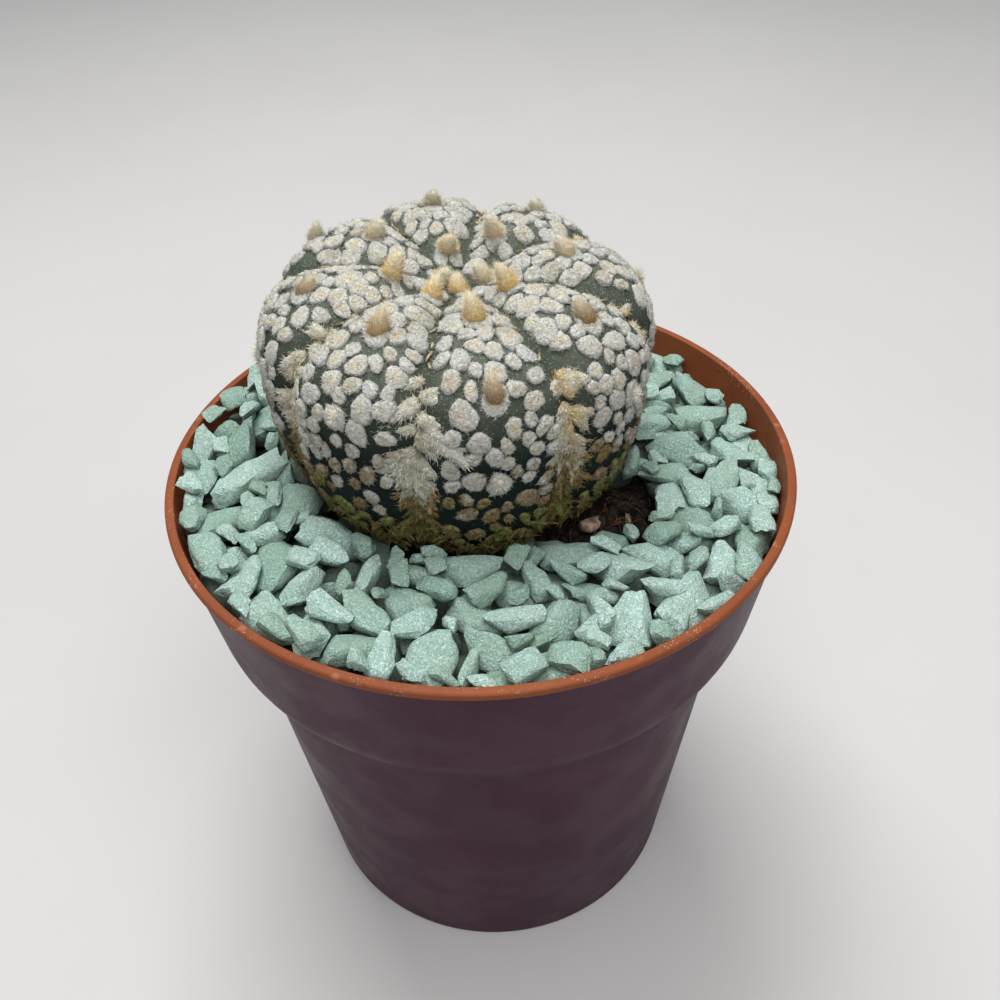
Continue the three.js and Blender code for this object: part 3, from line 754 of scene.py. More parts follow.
points, faces, comb, ages, tints = [], [], [], [], []
for k in range(len(spots)):
    outline = fleck_outline(k)
    age = (places[k][0] - FLECK_AGE_FROM) / FLECK_AGE_SPAN + 0.12 * rng.standard_normal()
    ages.append(np.clip(age, 0, 1))
    thickness = (0.72 + 0.32 * rng.random()) * (1 - 0.4 * ages[k])
    tints.append(rng.random())
    faces.extend(ring_faces(len(points), len(FLECK_RINGS), FLECK_DIRECTIONS))
    for share, height in FLECK_RINGS:
        ragged = 1 + 0.07 * rng.standard_normal(FLECK_DIRECTIONS) * (share > 0.9)
        flat = aims * (outline * share * ragged)[:, None]
        lumps = np.array([noise.noise(Vector((*(3 * spots[k][:2] + point), height)) * 2.6) for point in flat])
        bumps = (0.15 * lumps + 0.035 * rng.standard_normal(FLECK_DIRECTIONS)) * (height > 0)
        points.extend(drape(k, flat, height * thickness + bumps))
        comb.extend(0.9 * min(1, share) * (aims[:, :1] * sides[k] + aims[:, 1:] * alongs[k]))
    points.extend(drape(k, np.zeros((2, 2)), np.array([-0.15, 0.48 * thickness])))
    comb.extend(np.zeros((2, 3)))

felt = wool_material(
    "fleck_felt", (0.77, 0.68, 0.46), (0.70, 0.71, 0.675), (0.50, 0.42, 0.29), (0.40, 0.36, 0.28),
    speck_share=0.6, darkest_tone_and_shade=0.82, palest=1.14,
)
per_fleck = len(FLECK_RINGS) * FLECK_DIRECTIONS + 2
hearts = np.append(np.repeat([max(0, 1 - share) for share, _ in FLECK_RINGS], FLECK_DIRECTIONS), [0, 1])
felt_age = np.repeat(ages, per_fleck)
shag = np.repeat(np.where(np.arange(len(spots)) < len(areoles), AREOLE_SHAG, 1.0), per_fleck)
flecks = woolly_piece(
    "wool_flecks", points, faces, felt, comb, age=felt_age, heart=np.tile(hearts, len(spots)),
    tint=np.repeat(tints, per_fleck), downy=1 - 0.3 * felt_age, shag=shag * (1 + 0.6 * felt_age),
)
coat_of_hairs(
    "fleck_hairs", flecks, felt, density=14.4, length=0.26, width=0.025, lift=0.55, spread=0.9, seed=11
)

# Wool buds. On each areole stands a plump bud of soft hairs, golden at its base and greyish at its tip,
# where a spine would be on other cacti. The newest ones crowd in the dimple of the crown.
BUD_SEED = 29
BUD_RADIUS = 0.88
BUD_HEIGHT = 2.7
BUD_SIDES = 12
BUD_PALENESS = [0.1, 0, 0.9, 0.9, 0.5, 0.9, 0.2, 0]
BUD_PROFILE = [(0.75, -0.1), (0.98, 0.06), (1.0, 0.22), (0.9, 0.42), (0.73, 0.62), (0.52, 0.8), (0.3, 0.94)]

points, faces, comb, bud_values = [], [], [], []
rng = np.random.default_rng(BUD_SEED)
for k, (arc, turn) in enumerate(areoles):
    young = np.clip(1 - arc / 6, 0, 1)
    old = np.clip((arc - 7) / 8, 0, 1)
    tuft = np.clip((arc - 18.5) / 2, 0, 1)
    white = max(tuft, 0.6 * BUD_PALENESS[round(turn / (2 * half_rib))])
    width = BUD_RADIUS * (1 - 0.4 * tuft - 0.05 * young - 0.08 * old) * (0.92 + 0.16 * rng.random())
    tall = BUD_HEIGHT * (1 - 0.5 * tuft - 0.35 * young - 0.14 * old) * (0.9 + 0.2 * rng.random())
    lean = 0.25 * rng.standard_normal(2)
    axis = normals[k] + (0.25 + 1.15 * old) * alongs[k] + lean[0] * 0.4 * sides[k]
    axis /= np.linalg.norm(axis)
    side = np.cross(alongs[k], axis)
    side /= np.linalg.norm(side)
    front = np.cross(axis, side)
    bud_values.append((old, white, 1 + 0.5 * tuft, rng.random()))
    faces.extend(ring_faces(len(points), len(BUD_PROFILE), BUD_SIDES))
    for share, rise in BUD_PROFILE:
        for bearing in np.linspace(0, 2 * np.pi, BUD_SIDES, endpoint=False):
            outwards = math.cos(bearing) * side + math.sin(bearing) * front
            grown = width * share * (1 + 0.06 * rng.standard_normal())
            points.append(spots[k] + outwards * grown + axis * tall * rise)
            comb.append(axis * 1.1 + outwards * (0.75 - 1.05 * rise))
    points.extend([spots[k] - 0.2 * axis, spots[k] + axis * tall])
    comb.extend([axis, axis])

bud_wool, tree, surface = new_material("bud_wool")
old, white = stored(tree, "age"), stored(tree, "white")
golden = blended(tree, stored(tree, "tint"), (0.80, 0.55, 0.22), (0.80, 0.61, 0.31))
aged_base = blended(tree, product(tree, old, 0.85), golden, (0.24, 0.14, 0.06))
base_color = blended(tree, white, aged_base, (0.86, 0.74, 0.50))
aged_tip = blended(tree, old, (0.86, 0.77, 0.54), (0.64, 0.54, 0.37))
tip_color = blended(tree, white, aged_tip, (0.90, 0.87, 0.78))
risen = blended(tree, ranged(tree, stored(tree, "rise"), (0.2, 0.85)), base_color, tip_color)
streaked = blended(tree, product(tree, mottled(tree, 3000), 0.2), risen, (0.80, 0.72, 0.56))
paint(tree, surface, fibre_tones_and_shade(tree, streaked, 0.78, 1.25), [(mottled(tree, 3600), 0.6, 0.1)])

fuzz, tree, surface = new_material("bud_fuzz")
old = stored(tree, "age")
fuzz_foot = blended(tree, old, (0.82, 0.61, 0.27), (0.38, 0.26, 0.13))
fuzz_tip = blended(tree, old, (0.89, 0.82, 0.62), (0.77, 0.70, 0.53))
risen = blended(tree, ranged(tree, stored(tree, "rise"), (0.2, 0.8)), fuzz_foot, fuzz_tip)
fuzz_color = blended(tree, stored(tree, "white"), risen, (0.88, 0.85, 0.74))
paint(tree, surface, fibre_tones_and_shade(tree, fuzz_color, 0.72, 1.22))

rises = np.append(np.repeat([rise for _, rise in BUD_PROFILE], BUD_SIDES), [0, 1])
bud_age, bud_white, bud_shag, bud_tint = np.repeat(bud_values, len(rises), axis=0).T
wool_buds = woolly_piece(
    "wool_buds", points, faces, bud_wool, comb, rise=np.tile(rises, len(areoles)), age=bud_age,
    white=bud_white, shag=bud_shag, tint=bud_tint, downy=np.ones(len(points)),
)
coat_of_hairs(
    "bud_hairs", wool_buds, fuzz, density=68, length=0.52, width=0.0165, lift=0.75, spread=0.75, seed=17
)

# Groove crust. Old wool hangs in fat shaggy tongues to both sides of each groove: cream with golden roots
# at the top, then tan and brown, and green with algae where the plant meets the gravel.
CRUST_SEED = 41
CRUST_START = [17.2, 16, 14.5, 17, 19, 17, 14.5, 15.6]
CRUST_GOLD = [0.9, 0.8, 1.0, 0.5, 0.6, 0.5, 0.5, 0.3]
CRUST_WHITE_TO = [23.2, 24, 24, 24, 24, 24, 24, 25]
CRUST_SIZE = [1.3, 0.9, 0.9, 0.8, 0.8, 0.8, 1.05, 1.25]
CRUST_END = 38
CRUST_AGE_SPAN = 11.5
PAD_LAST_ARC = 27
PAD_STEP = 2.2
LONG_PADS = [
    (7, 21.6, 1.5, 4.4, 2.3), (7, 24.4, -1.2, 4.0, 1.9), (0, 17.4, 1.4, 2.8, 1.3), (0, 22.0, -1.3, 3.0, 1.5),
    (0, 26.0, 0.9, 3.0, 1.3), (0, 27.5, -0.9, 3.8, 1.4), (0, 30.5, -1.0, 4.4, 1.5), (0, 33.0, -0.8, 3.8, 1.4),
]
TUFTS_FROM = 24.5
TUFT_STEP = 0.36
TUFT_TONGUES = 4
SCALE_FIRST_ARC = 6
TONGUE_SIDES = 6
TONGUE_PROFILE = [(0.0, 0.75), (0.22, 1.0), (0.5, 1.05), (0.76, 0.85), (0.95, 0.42)]
SHAGGY = 1.2

rng = np.random.default_rng(CRUST_SEED)
crust = defaultdict(list)


def add_tongue(arc, turn, bearing, length, width, thickness, curl, gold, age, shag=1.0):
    """Plants one tongue. The bearing is measured from straight down the plant, to either side."""
    root = on_skin(arc, turn, 0.1)
    up = on_skin(arc, turn, 1.1) - root
    across = np.array([math.cos(turn), math.sin(turn), 0])
    way = np.cross(across, up) * math.cos(bearing) + across * math.sin(bearing)
    side = np.cross(way, up)
    points, start = crust["points"], len(crust["points"])
    sway, shift = 0.25 * rng.standard_normal(), Vector((20 * rng.random(), 0, 0))
    for share, swell in TONGUE_PROFILE:
        middle = root + way * length * share + up * curl * length * share**1.5
        middle = middle + side * sway * length * share**2
        for round_it in np.linspace(0, 2 * np.pi, TONGUE_SIDES, endpoint=False):
            spread = side * math.cos(round_it) * width + up * math.sin(round_it) * thickness
            lump = noise.noise(Vector(3 * middle + spread) * 0.9 + shift)
            points.append(middle + 0.5 * spread * swell * (1 + 0.5 * lump + 0.05 * rng.standard_normal()))
            crust["comb"].append(way * 0.7 + spread * 0.5)
            crust["heart"].append(1 - share)
    points.extend([root, root + way * length * 1.05 + up * curl * length + side * sway * length])
    crust["comb"].extend([up, way])
    crust["heart"].extend([1, 0])
    foot, tip = len(points) - 2, len(points) - 1
    last = foot - TONGUE_SIDES
    for i in range(TONGUE_SIDES):
        j = (i + 1) % TONGUE_SIDES
        for a in range(start, last, TONGUE_SIDES):
            b = a + TONGUE_SIDES
            crust["faces"].append((a + i, b + i, b + j, a + j))
        crust["faces"].extend([(start + i, start + j, foot), (last + j, last + i, tip)])
    for name, value in (("age", np.clip(age, 0, 1)), ("tint", gold), ("shag", shag)):
        crust[name].extend([value] * (len(points) - start))


def crust_piece(name, material):
    """The tongues planted so far, as one piece. The next piece starts without any."""
    points, faces, comb = crust.pop("points"), crust.pop("faces"), crust.pop("comb")
    made = woolly_piece(name, points, faces, material, comb, downy=np.ones(len(points)), **crust)
    crust.clear()
    return made


for groove in range(RIBS):
    middle_turn = (2 * groove + 1) * half_rib
    arc = SCALE_FIRST_ARC + 2 * rng.random()
    while arc < CRUST_START[groove]:
        turn = middle_turn + 0.25 * rng.standard_normal() / np.interp(arc, line_arc, line_radius)
        length = 0.7 + 0.7 * rng.random()
        bearing, age = 0.5 * rng.standard_normal(), 0.28 + 0.2 * rng.random()
        add_tongue(arc, turn, bearing, length, width=0.3, thickness=0.16, curl=0.1, gold=1, age=age)
        arc += 0.8 + 1.6 * rng.random()
    size, gold, white_to = CRUST_SIZE[groove], CRUST_GOLD[groove], CRUST_WHITE_TO[groove]
    arc, hand = CRUST_START[groove], rng.choice([-1, 1])
    pads = [pad[1:] for pad in LONG_PADS if pad[0] == groove]
    while arc < PAD_LAST_ARC:
        bearing = hand * (1.25 + 0.3 * rng.standard_normal())
        pads.append((arc, bearing, (1.9 + 0.8 * rng.random()) * size, (1.2 + 0.5 * rng.random()) * size))
        arc += PAD_STEP * (0.35 + 0.45 * rng.random())
        hand = -hand
    for arc, bearing, length, width in pads:
        for n in range(3):
            fan = bearing + 0.22 * (n - 1) + 0.08 * rng.standard_normal()
            age = (arc - white_to - 1) / CRUST_AGE_SPAN + 0.05 * rng.standard_normal()
            grown, broad = length * (0.85 + 0.25 * rng.random()), width * (0.65 + 0.15 * rng.random())
            shade, curl = gold * (0.5 + 0.5 * rng.random()), 0.06 + 0.2 * rng.random()
            add_tongue(arc, middle_turn, fan, grown, broad, 0.85 * broad, curl, shade, age, SHAGGY)
    arc = TUFTS_FROM
    while arc < CRUST_END:
        share = (arc - CRUST_START[groove]) / (CRUST_END - CRUST_START[groove])
        turn = middle_turn + 0.45 * rng.standard_normal() / np.interp(arc, line_arc, line_radius)
        bearing = hand * (1.2 - 0.4 * share + 0.35 * rng.standard_normal())
        for _ in range(TUFT_TONGUES):
            fan = bearing + 0.5 * rng.standard_normal()
            length = (1.3 + 1.2 * rng.random()) * (1 - 0.2 * share) * size
            width = (0.45 + 0.45 * rng.random()) * (1 - 0.2 * share) * size
            age = (arc - white_to) / CRUST_AGE_SPAN + 0.1 * rng.standard_normal()
            curl = 0.12 + 0.3 * rng.random()
            add_tongue(arc, turn, fan, length, width, 0.5 * width, curl, gold, age, SHAGGY)
        arc += TUFT_STEP * (0.6 + 0.8 * rng.random())
        hand = -hand

crust_wool = wool_material(
    "crust_wool", (0.88, 0.67, 0.27), (0.88, 0.89, 0.81), (0.78, 0.67, 0.42), (0.44, 0.28, 0.11),
    speck_share=0.3, darkest_tone_and_shade=0.66, palest=1.3,
)
groove_crust = crust_piece("groove_crust", crust_wool)
coat_of_hairs(
    "crust_hairs", groove_crust, crust_wool,
    density=12, length=0.38, width=0.028, lift=0.6, spread=0.6, seed=23,
)

# Foot crust. Round the plant's foot the old flecks and wool have rotted to a brown and green mossy crust.
FOOT_TONGUES = 760
FOOT_FIRST_ARC = 33
FOOT_LAST_ARC = 41
for _ in range(FOOT_TONGUES):
    arc = FOOT_FIRST_ARC + (FOOT_LAST_ARC - FOOT_FIRST_ARC) * rng.random() ** 0.7
    turn = 2 * math.pi * rng.random()
    length = 0.9 + 0.9 * rng.random()
    width = 0.35 + 0.45 * rng.random()
    age = 0.52 + 0.46 * rng.random()
    bearing, curl = 1.2 * rng.standard_normal(), 0.15 + 0.3 * rng.random()
    add_tongue(arc, turn, bearing, length, width, 0.4 * width, curl, 1, age)
foot_crust = crust_piece("foot_crust", crust_wool)
coat_of_hairs(
    "foot_hairs", foot_crust, crust_wool, density=6, length=0.45, width=0.03, lift=0.5, spread=0.6, seed=31
)

# Soil. Dark potting soil fills the pot up to under the gravel, with a dish for the plant's belly and a
# hole for its root. It shows in a bare patch at the plant's right and in the gaps round its foot.
SOIL_TOP = 52.9
SOIL_FOOT = 2.9
SOIL_CLEARANCE = 0.35
SOIL_SIDES = 180
SOIL_ROWS = 60
BARE_SOIL = (13.6, -6.2)
BARE_SOIL_RADIUS = 4.2
PATCH_MOUND = 1.8
PATCH_MOUND_RADIUS = 4
ROOT_HOLE_TOP = 51
ROOT_HOLE_DEPTH = 22
DISH_FROM = 6.6
OPEN_RING = (10, 16.5)
OPEN_FROM_Z = 50
PLANT_AXIS = np.array([BODY_PLACE.x, BODY_PLACE.y]) / MM
PLANT_Z = BODY_PLACE.z / MM

earth, tree, surface = new_material("potting_soil", specular=0.1)
dark = blended(tree, mottled(tree, 900), (0.008, 0.007, 0.006), (0.042, 0.033, 0.027))
bark = product(tree, speckled(tree, 1500, 0.3, 0.25), 0.7)
bumps = [(mottled(tree, 1400), 0.9, 0.3), (mottled(tree, 4500), 0.8, 0.1)]
paint(tree, surface, blended(tree, bark, dark, (0.20, 0.13, 0.085)), bumps)

soil_turns = np.linspace(0, 2 * np.pi, SOIL_SIDES, endpoint=False)
soil_aims = np.stack([np.cos(soil_turns), np.sin(soil_turns)], -1)
wall_top = float(pot_radius(SOIL_TOP)) - WALL - SOIL_CLEARANCE
towards = soil_aims @ PLANT_AXIS
to_wall = -towards + np.sqrt(towards**2 + wall_top**2 - PLANT_AXIS @ PLANT_AXIS)
root_shift = np.array([-math.sin(LEAN_TO_RIGHT), math.sin(LEAN_TO_VIEWER)])
rings = []
for share in (0.0, 0.5, 1.0):
    drop = (1 - share) * ROOT_HOLE_DEPTH
    centre = PLANT_AXIS + root_shift * (PLANT_Z - ROOT_HOLE_TOP + drop)
    level = np.full(SOIL_SIDES, ROOT_HOLE_TOP - drop - 0.6)
    rings.append(np.column_stack([centre + soil_aims * (3.2 + 3.4 * share), level]))
belly_radius = line_radius[LINE_STEPS:][::-1]
belly_height = line_height[LINE_STEPS:][::-1]
for share in np.linspace(0, 1, SOIL_ROWS)[1:]:
    reach = DISH_FROM + (to_wall - DISH_FROM) * share
    spot = PLANT_AXIS + soil_aims * reach[:, None]
    under = PLANT_Z + np.interp(reach, belly_radius, belly_height) - 0.5
    coarse = np.array([noise.noise(Vector((*point, 3)) * 0.9) for point in spot])
    fine = np.array([noise.noise(Vector((*point, 7)) * 2.3) for point in spot])
    mound = PATCH_MOUND * np.exp(-(((spot - BARE_SOIL) / PATCH_MOUND_RADIUS) ** 2).sum(1))
    level = SOIL_TOP + mound + 0.45 * (coarse + 0.5 * fine)
    rings.append(np.column_stack([spot, np.minimum(under, level)]))
for z in (STEP_Z, SOIL_FOOT):
    wall = float(pot_radius(z)) - WALL - SOIL_CLEARANCE
    rings.append(np.column_stack([soil_aims * wall, np.full(SOIL_SIDES, z)]))
root_end = (*rings[0][:, :2].mean(0), rings[0][0, 2])
points = np.concatenate([*rings, [root_end, (0, 0, SOIL_FOOT)]])
soil = mesh_object("soil_body", points, ring_faces(0, len(rings), SOIL_SIDES, mirrored=True), earth)
from_patch = np.hypot(points[:, 0] - BARE_SOIL[0], points[:, 1] - BARE_SOIL[1])
from_axis = np.hypot(points[:, 0] - PLANT_AXIS[0], points[:, 1] - PLANT_AXIS[1])
round_foot = (from_axis > OPEN_RING[0]) & (from_axis < OPEN_RING[1])
store(soil, open=((from_patch < BARE_SOIL_RADIUS + 1) | round_foot) & (points[:, 2] > OPEN_FROM_Z))
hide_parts("soil")
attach(soil, "root")

# Soil crumbs. Loose crumbs and bits of bark lie on the open soil.
CRUMB_SEED = 57
CRUMB_SHAPES = 6
SMALL_CRUMBS = 2.2


def ball(fineness):
    """The corners and the faces of a ball, out of which a crumb or a chip is made."""
    made = bmesh.new()
    bmesh.ops.create_icosphere(made, subdivisions=fineness, radius=1)
    made.verts.ensure_lookup_table()
    rays = np.array([vertex.co for vertex in made.verts])
    faces = [tuple(vertex.index for vertex in face.verts) for face in made.faces]
    made.free()
    return rays, faces


def shape_collection(name, shapes, material):
    """The shapes that a geometry node tree copies, kept out of the scene."""
    collection = bpy.data.collections.new(name)
    for n, (points, faces) in enumerate(shapes):
        made = mesh_object(f"{name}_{n:02d}", points / MM, faces, material)
        bpy.context.scene.collection.objects.unlink(made)
        collection.objects.link(made)
    return collection


def each_shape(tree, given):
    """The shapes of the collection that a tree is given, each by itself."""
    inputs = {"Collection": given["Shapes"], "Separate Children": True, "Reset Children": True}
    return add_node(tree, "GeometryNodeCollectionInfo", inputs).outputs["Instances"]


rng = np.random.default_rng(CRUMB_SEED)
crumb_shapes = []
for _ in range(CRUMB_SHAPES):
    rays, faces = ball(1)
    crumb_shapes.append((rays * (0.7 + 0.5 * rng.random((len(rays), 1))) * (1, 1, 0.75), faces))
crumb_collection = shape_collection("crumb", crumb_shapes, earth)

crumb_tree, crumb_keys, given, end = new_geometry_tree(
    "crumbs_on_soil", Density="Float", Smallest="Float", Largest="Float", Seed="Int",
    Shapes="Collection", Material="Material",
)
mostly_small = calculated(crumb_tree, "POWER", random_number(crumb_tree, 0, 1, 3), SMALL_CRUMBS)
set_copies(crumb_tree, given, end, {
    "Points": scattered_points(crumb_tree, given, "open").outputs["Points"],
    "Instance": each_shape(crumb_tree, given), "Pick Instance": True,
    "Rotation": random_vector(crumb_tree, 0, 6.28, 2),
    "Scale": ranged(crumb_tree, mostly_small, to_range=(given["Smallest"], given["Largest"])),
})
crumbs = new_object("soil_crumbs", soil.data.copy())
run_tree(crumbs, crumb_tree, crumb_keys, {
    "Density": 3.0 / MM**2, "Smallest": 0.16 * MM, "Largest": 1.15 * MM, "Seed": 4,
    "Shapes": crumb_collection, "Material": earth,
})
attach(crumbs, "root")
for shape in list(crumb_collection.objects):
    bpy.data.objects.remove(shape)

# Gravel. Loose angular chips of crushed stone, dyed pale mint green, rough and pitted. They are laid one
# by one, each where it comes to rest lowest on the soil and on the chips under it.
STONE_SEED = 83
STONE_SHAPES = 36
STONE_EDGE = math.radians(44)
DEEP_SHAPES = 10
DEEP_STEP = 3.7
DEEP_HEIGHT = 54.2
STONE_COUNT = 445
STONE_LENGTHS = (5.6, 9.0)
FILLERS_FROM = 170
FILLER_LENGTHS = (4.0, 6.6)
HOLE_DEPTH = 1.9
LAST_FROM = 330
LAST_LENGTHS = (2.6, 4.2)
LAST_HOLE_DEPTH = 2.4
BED_TOP = 57.9
BED_SPREAD = 30
SETTLING = 0.1
EDGE_POWER = 17
BROKEN_FACES = 13
GRAVEL_FLOOR = 53.2
GRAVEL_WALL_GAP = 0.1
WALL_REACH = 23
CELL = 0.25
NO_ROOM = 1000.0
PLANT_FOOT_RADIUS = 12
PLANT_GAP = 0.5
LAYING_TRIES = 100

rng = np.random.default_rng(STONE_SEED)


def stone_shape(rays):
    """A chip: broken faces at random, blended by a power mean so that their edges are a little worn."""
    faces = rng.standard_normal((BROKEN_FACES, 3))
    faces[:6] = [(1, 0, 0), (-1, 0, 0), (0, 1, 0), (0, -1, 0), (0, 0, 1), (0, 0, -1)]
    faces[:6] += 0.28 * rng.standard_normal((6, 3))
    faces /= np.linalg.norm(faces, axis=1, keepdims=True)
    distances = np.concatenate([0.7 + 0.22 * rng.random(6), 0.72 + 0.26 * rng.random(BROKEN_FACES - 6)])
    facing = np.maximum(rays @ faces.T / distances, 0)
    chip = rays / (facing**EDGE_POWER).sum(1)[:, None] ** (1 / EDGE_POWER)
    shift = Vector((9 * faces[7, 0], 0, 0))
    coarse = np.array([noise.noise(Vector(p) * 2.4 + shift) for p in chip])
    fine = np.array([noise.noise(Vector(p) * 6 + shift) for p in chip])
    chip *= 1 + 0.09 * (coarse + 0.5 * fine)[:, None]
    chip[:, 1:] *= 1 - 0.34 * rng.random() * chip[:, :1]
    size = np.array([1, 0.54 + 0.24 * rng.random(), 0.34 + 0.18 * rng.random()])
    return chip / np.ptp(chip, axis=0) * size


fine_ball, fine_faces = ball(3)
coarse_ball, coarse_faces = ball(2)
shapes = [(stone_shape(fine_ball), fine_faces) for _ in range(STONE_SHAPES)]
shapes += [(stone_shape(coarse_ball), coarse_faces) for _ in range(DEEP_SHAPES)]
feelers = []
for shape, shape_faces in shapes:
    corners = shape[np.array(shape_faces)]
    edges = (corners + np.roll(corners, 1, axis=1)) / 2
    feelers.append(np.concatenate([shape, corners.mean(1), edges.reshape(-1, 3)]))
half = math.ceil((LIP_RADIUS + 1) / CELL)
axis_cells = (np.arange(2 * half) - half + 0.5) * CELL
cell_x, cell_y = np.meshgrid(axis_cells, axis_cells, indexing="ij")
gravel_wall = float(pot_radius(57)) - LIP_WALL - GRAVEL_WALL_GAP
level = np.full(cell_x.shape, GRAVEL_FLOOR)
level[np.hypot(cell_x, cell_y) > gravel_wall + CELL] = NO_ROOM
level[np.hypot(cell_x - PLANT_AXIS[0], cell_y - PLANT_AXIS[1]) < PLANT_FOOT_RADIUS] = NO_ROOM
ceiling = np.full(cell_x.shape, NO_ROOM)
under_arc, under_turn = np.meshgrid(np.linspace(26, line_arc[-1], 700), np.linspace(0, 2 * np.pi, 1400))
underside = in_pot(on_skin(under_arc, under_turn, PLANT_GAP).reshape(-1, 3))
columns = np.floor(underside[:, :2] / CELL).astype(int) + half
np.minimum.at(ceiling, (columns[:, 0], columns[:, 1]), underside[:, 2])


def gravel_rise(x, y):
    """How much higher the gravel lies than its mean: it rises to the left, with a heap at the back left."""
    return -0.045 * x - 0.02 * y + 0.8 * np.exp(-((x + 23) ** 2 + (y - 12) ** 2) / 120)


def from_bare_soil(x, y):
    """How far a place lies from the middle of the bare patch."""
    return math.hypot(x - BARE_SOIL[0], y - BARE_SOIL[1])


def turned_chip(shape, length, tilt, spin):
    """A chip's rotation and its corners about its own middle."""
    tilted = Matrix.Rotation(tilt[0], 3, "X") @ Matrix.Rotation(tilt[1], 3, "Y")
    rotation = tilted @ Matrix.Rotation(spin, 3, "Z")
    return rotation, shapes[shape][0] * length @ np.array(rotation).T


def farthest(chip, x, y):
    """How far from the pot's middle a chip at this place reaches."""
    return np.hypot(*(chip[:, :2] + (x, y)).T).max()


def lay(x, y, rest, shape, length, rotation):
    """Adds a chip to the bed and raises the bed under it. None of it may stay in the pot's tapered wall."""
    felt_at = feelers[shape] * length @ np.array(rotation).T
    cells = np.floor((felt_at[:, :2] + (x, y)) / CELL).astype(int) + half
    for dx in (-1, 0, 1):
        for dy in (-1, 0, 1):
            top = rest + felt_at[:, 2] - 0.15 * (abs(dx) + abs(dy))
            np.maximum.at(level, (cells[:, 0] + dx, cells[:, 1] + dy), top)
    heights = [COLLAR_FOOT_Z, lip_foot - 2.5, lip_foot]
    inner_radii = [COLLAR_FOOT_RADIUS - WALL, inner_top - 0.35, inner_top]
    wall = np.interp(rest + felt_at[:, 2], heights, inner_radii)
    into_wall = (np.hypot(felt_at[:, 0] + x, felt_at[:, 1] + y) - wall).max()
    slide = 1 - max(into_wall, 0) / math.hypot(x, y)
    laid.append(((x * slide, y * slide, rest), rotation.to_euler(), length, shape, rng.random()))


laid = []
for row, row_y in enumerate(np.arange(-30, 31, DEEP_STEP * 0.87)):
    for row_x in np.arange(-30, 31, DEEP_STEP) + 0.5 * DEEP_STEP * (row % 2):
        x, y = row_x + 0.5 * rng.standard_normal(), row_y + 0.5 * rng.standard_normal()
        shape, length = STONE_SHAPES + int(rng.integers(DEEP_SHAPES)), 5.2 + 1.3 * rng.random()
        rotation, chip = turned_chip(shape, length, 0.3 * rng.standard_normal(2), 2 * math.pi * rng.random())
        too_far = farthest(chip, x, y) - gravel_wall
        if too_far > 3:
            continue
        away = math.hypot(x, y)
        if too_far > 0:
            x, y = x * (1 - too_far / away), y * (1 - too_far / away)
        if math.hypot(x - PLANT_AXIS[0], y - PLANT_AXIS[1]) < PLANT_FOOT_RADIUS + 0.5 * length:
            continue
        if from_bare_soil(x, y) < BARE_SOIL_RADIUS + 0.4 * length:
            continue
        deep = DEEP_HEIGHT + 0.7 * gravel_rise(x, y) + 0.35 * rng.standard_normal()
        lay(x, y, deep, shape, length, rotation)

open_bed = np.hypot(cell_x - BARE_SOIL[0], cell_y - BARE_SOIL[1]) > BARE_SOIL_RADIUS + 0.5
for n in range(STONE_COUNT):
    holes = []
    shortest, longest = STONE_LENGTHS
    if n >= FILLERS_FROM:
        shortest, longest = FILLER_LENGTHS if n < LAST_FROM else LAST_LENGTHS
        depth = HOLE_DEPTH if n < LAST_FROM else LAST_HOLE_DEPTH
        low = (level < BED_TOP + gravel_rise(cell_x, cell_y) - depth) & (ceiling == NO_ROOM) & open_bed
        holes = np.column_stack([cell_x[low], cell_y[low]])
    best = None
    for _ in range(LAYING_TRIES):
        shape = int(rng.integers(STONE_SHAPES))
        length = longest + (shortest - longest) * rng.random() ** 0.8
        away, bearing = BED_SPREAD * math.sqrt(rng.random()), 2 * math.pi * rng.random()
        x, y = away * math.cos(bearing), away * math.sin(bearing)
        if len(holes):
            x, y = holes[rng.integers(len(holes))] + 0.6 * rng.standard_normal(2)
        away, bearing = math.hypot(x, y), math.atan2(y, x)
        steep = 0.45 if rng.random() < 0.8 else 1.2
        spin = 2 * math.pi * rng.random()
        if away > WALL_REACH and rng.random() < 0.7:
            spin = bearing + math.pi / 2 + 0.35 * rng.standard_normal()
        if from_bare_soil(x, y) < BARE_SOIL_RADIUS + 0.3 * length:
            continue
        rotation, chip = turned_chip(shape, length, steep * rng.standard_normal(2), spin)
        if away > WALL_REACH:
            shift = gravel_wall - farthest(chip, x, y)
            if shift < 1:
                x, y = x * (1 + shift / away), y * (1 + shift / away)
        cells = np.floor((chip[:, :2] + (x, y)) / CELL).astype(int) + half
        if cells.min() < 1 or cells.max() > 2 * half - 2:
            continue
        under = level[cells[:, 0], cells[:, 1]]
        if np.any(under == NO_ROOM):
            continue
        gaps = (under - chip[:, 2])[chip[:, 2] < 0]
        rest = np.quantile(gaps, 0.96) - SETTLING
        if rest + chip[:, 2].max() > BED_TOP + gravel_rise(x, y) + 1.3 * rng.random():
            continue
        if np.any(rest + chip[:, 2] > ceiling[cells[:, 0], cells[:, 1]]):
            continue
        score = rest - gravel_rise(x, y) - 0.16 * length + 0.3 * (rest - gaps.mean())
        if best is None or score < best[0]:
            best = (score, x, y, rest, shape, length, rotation)
    if best:
        lay(*best[1:])

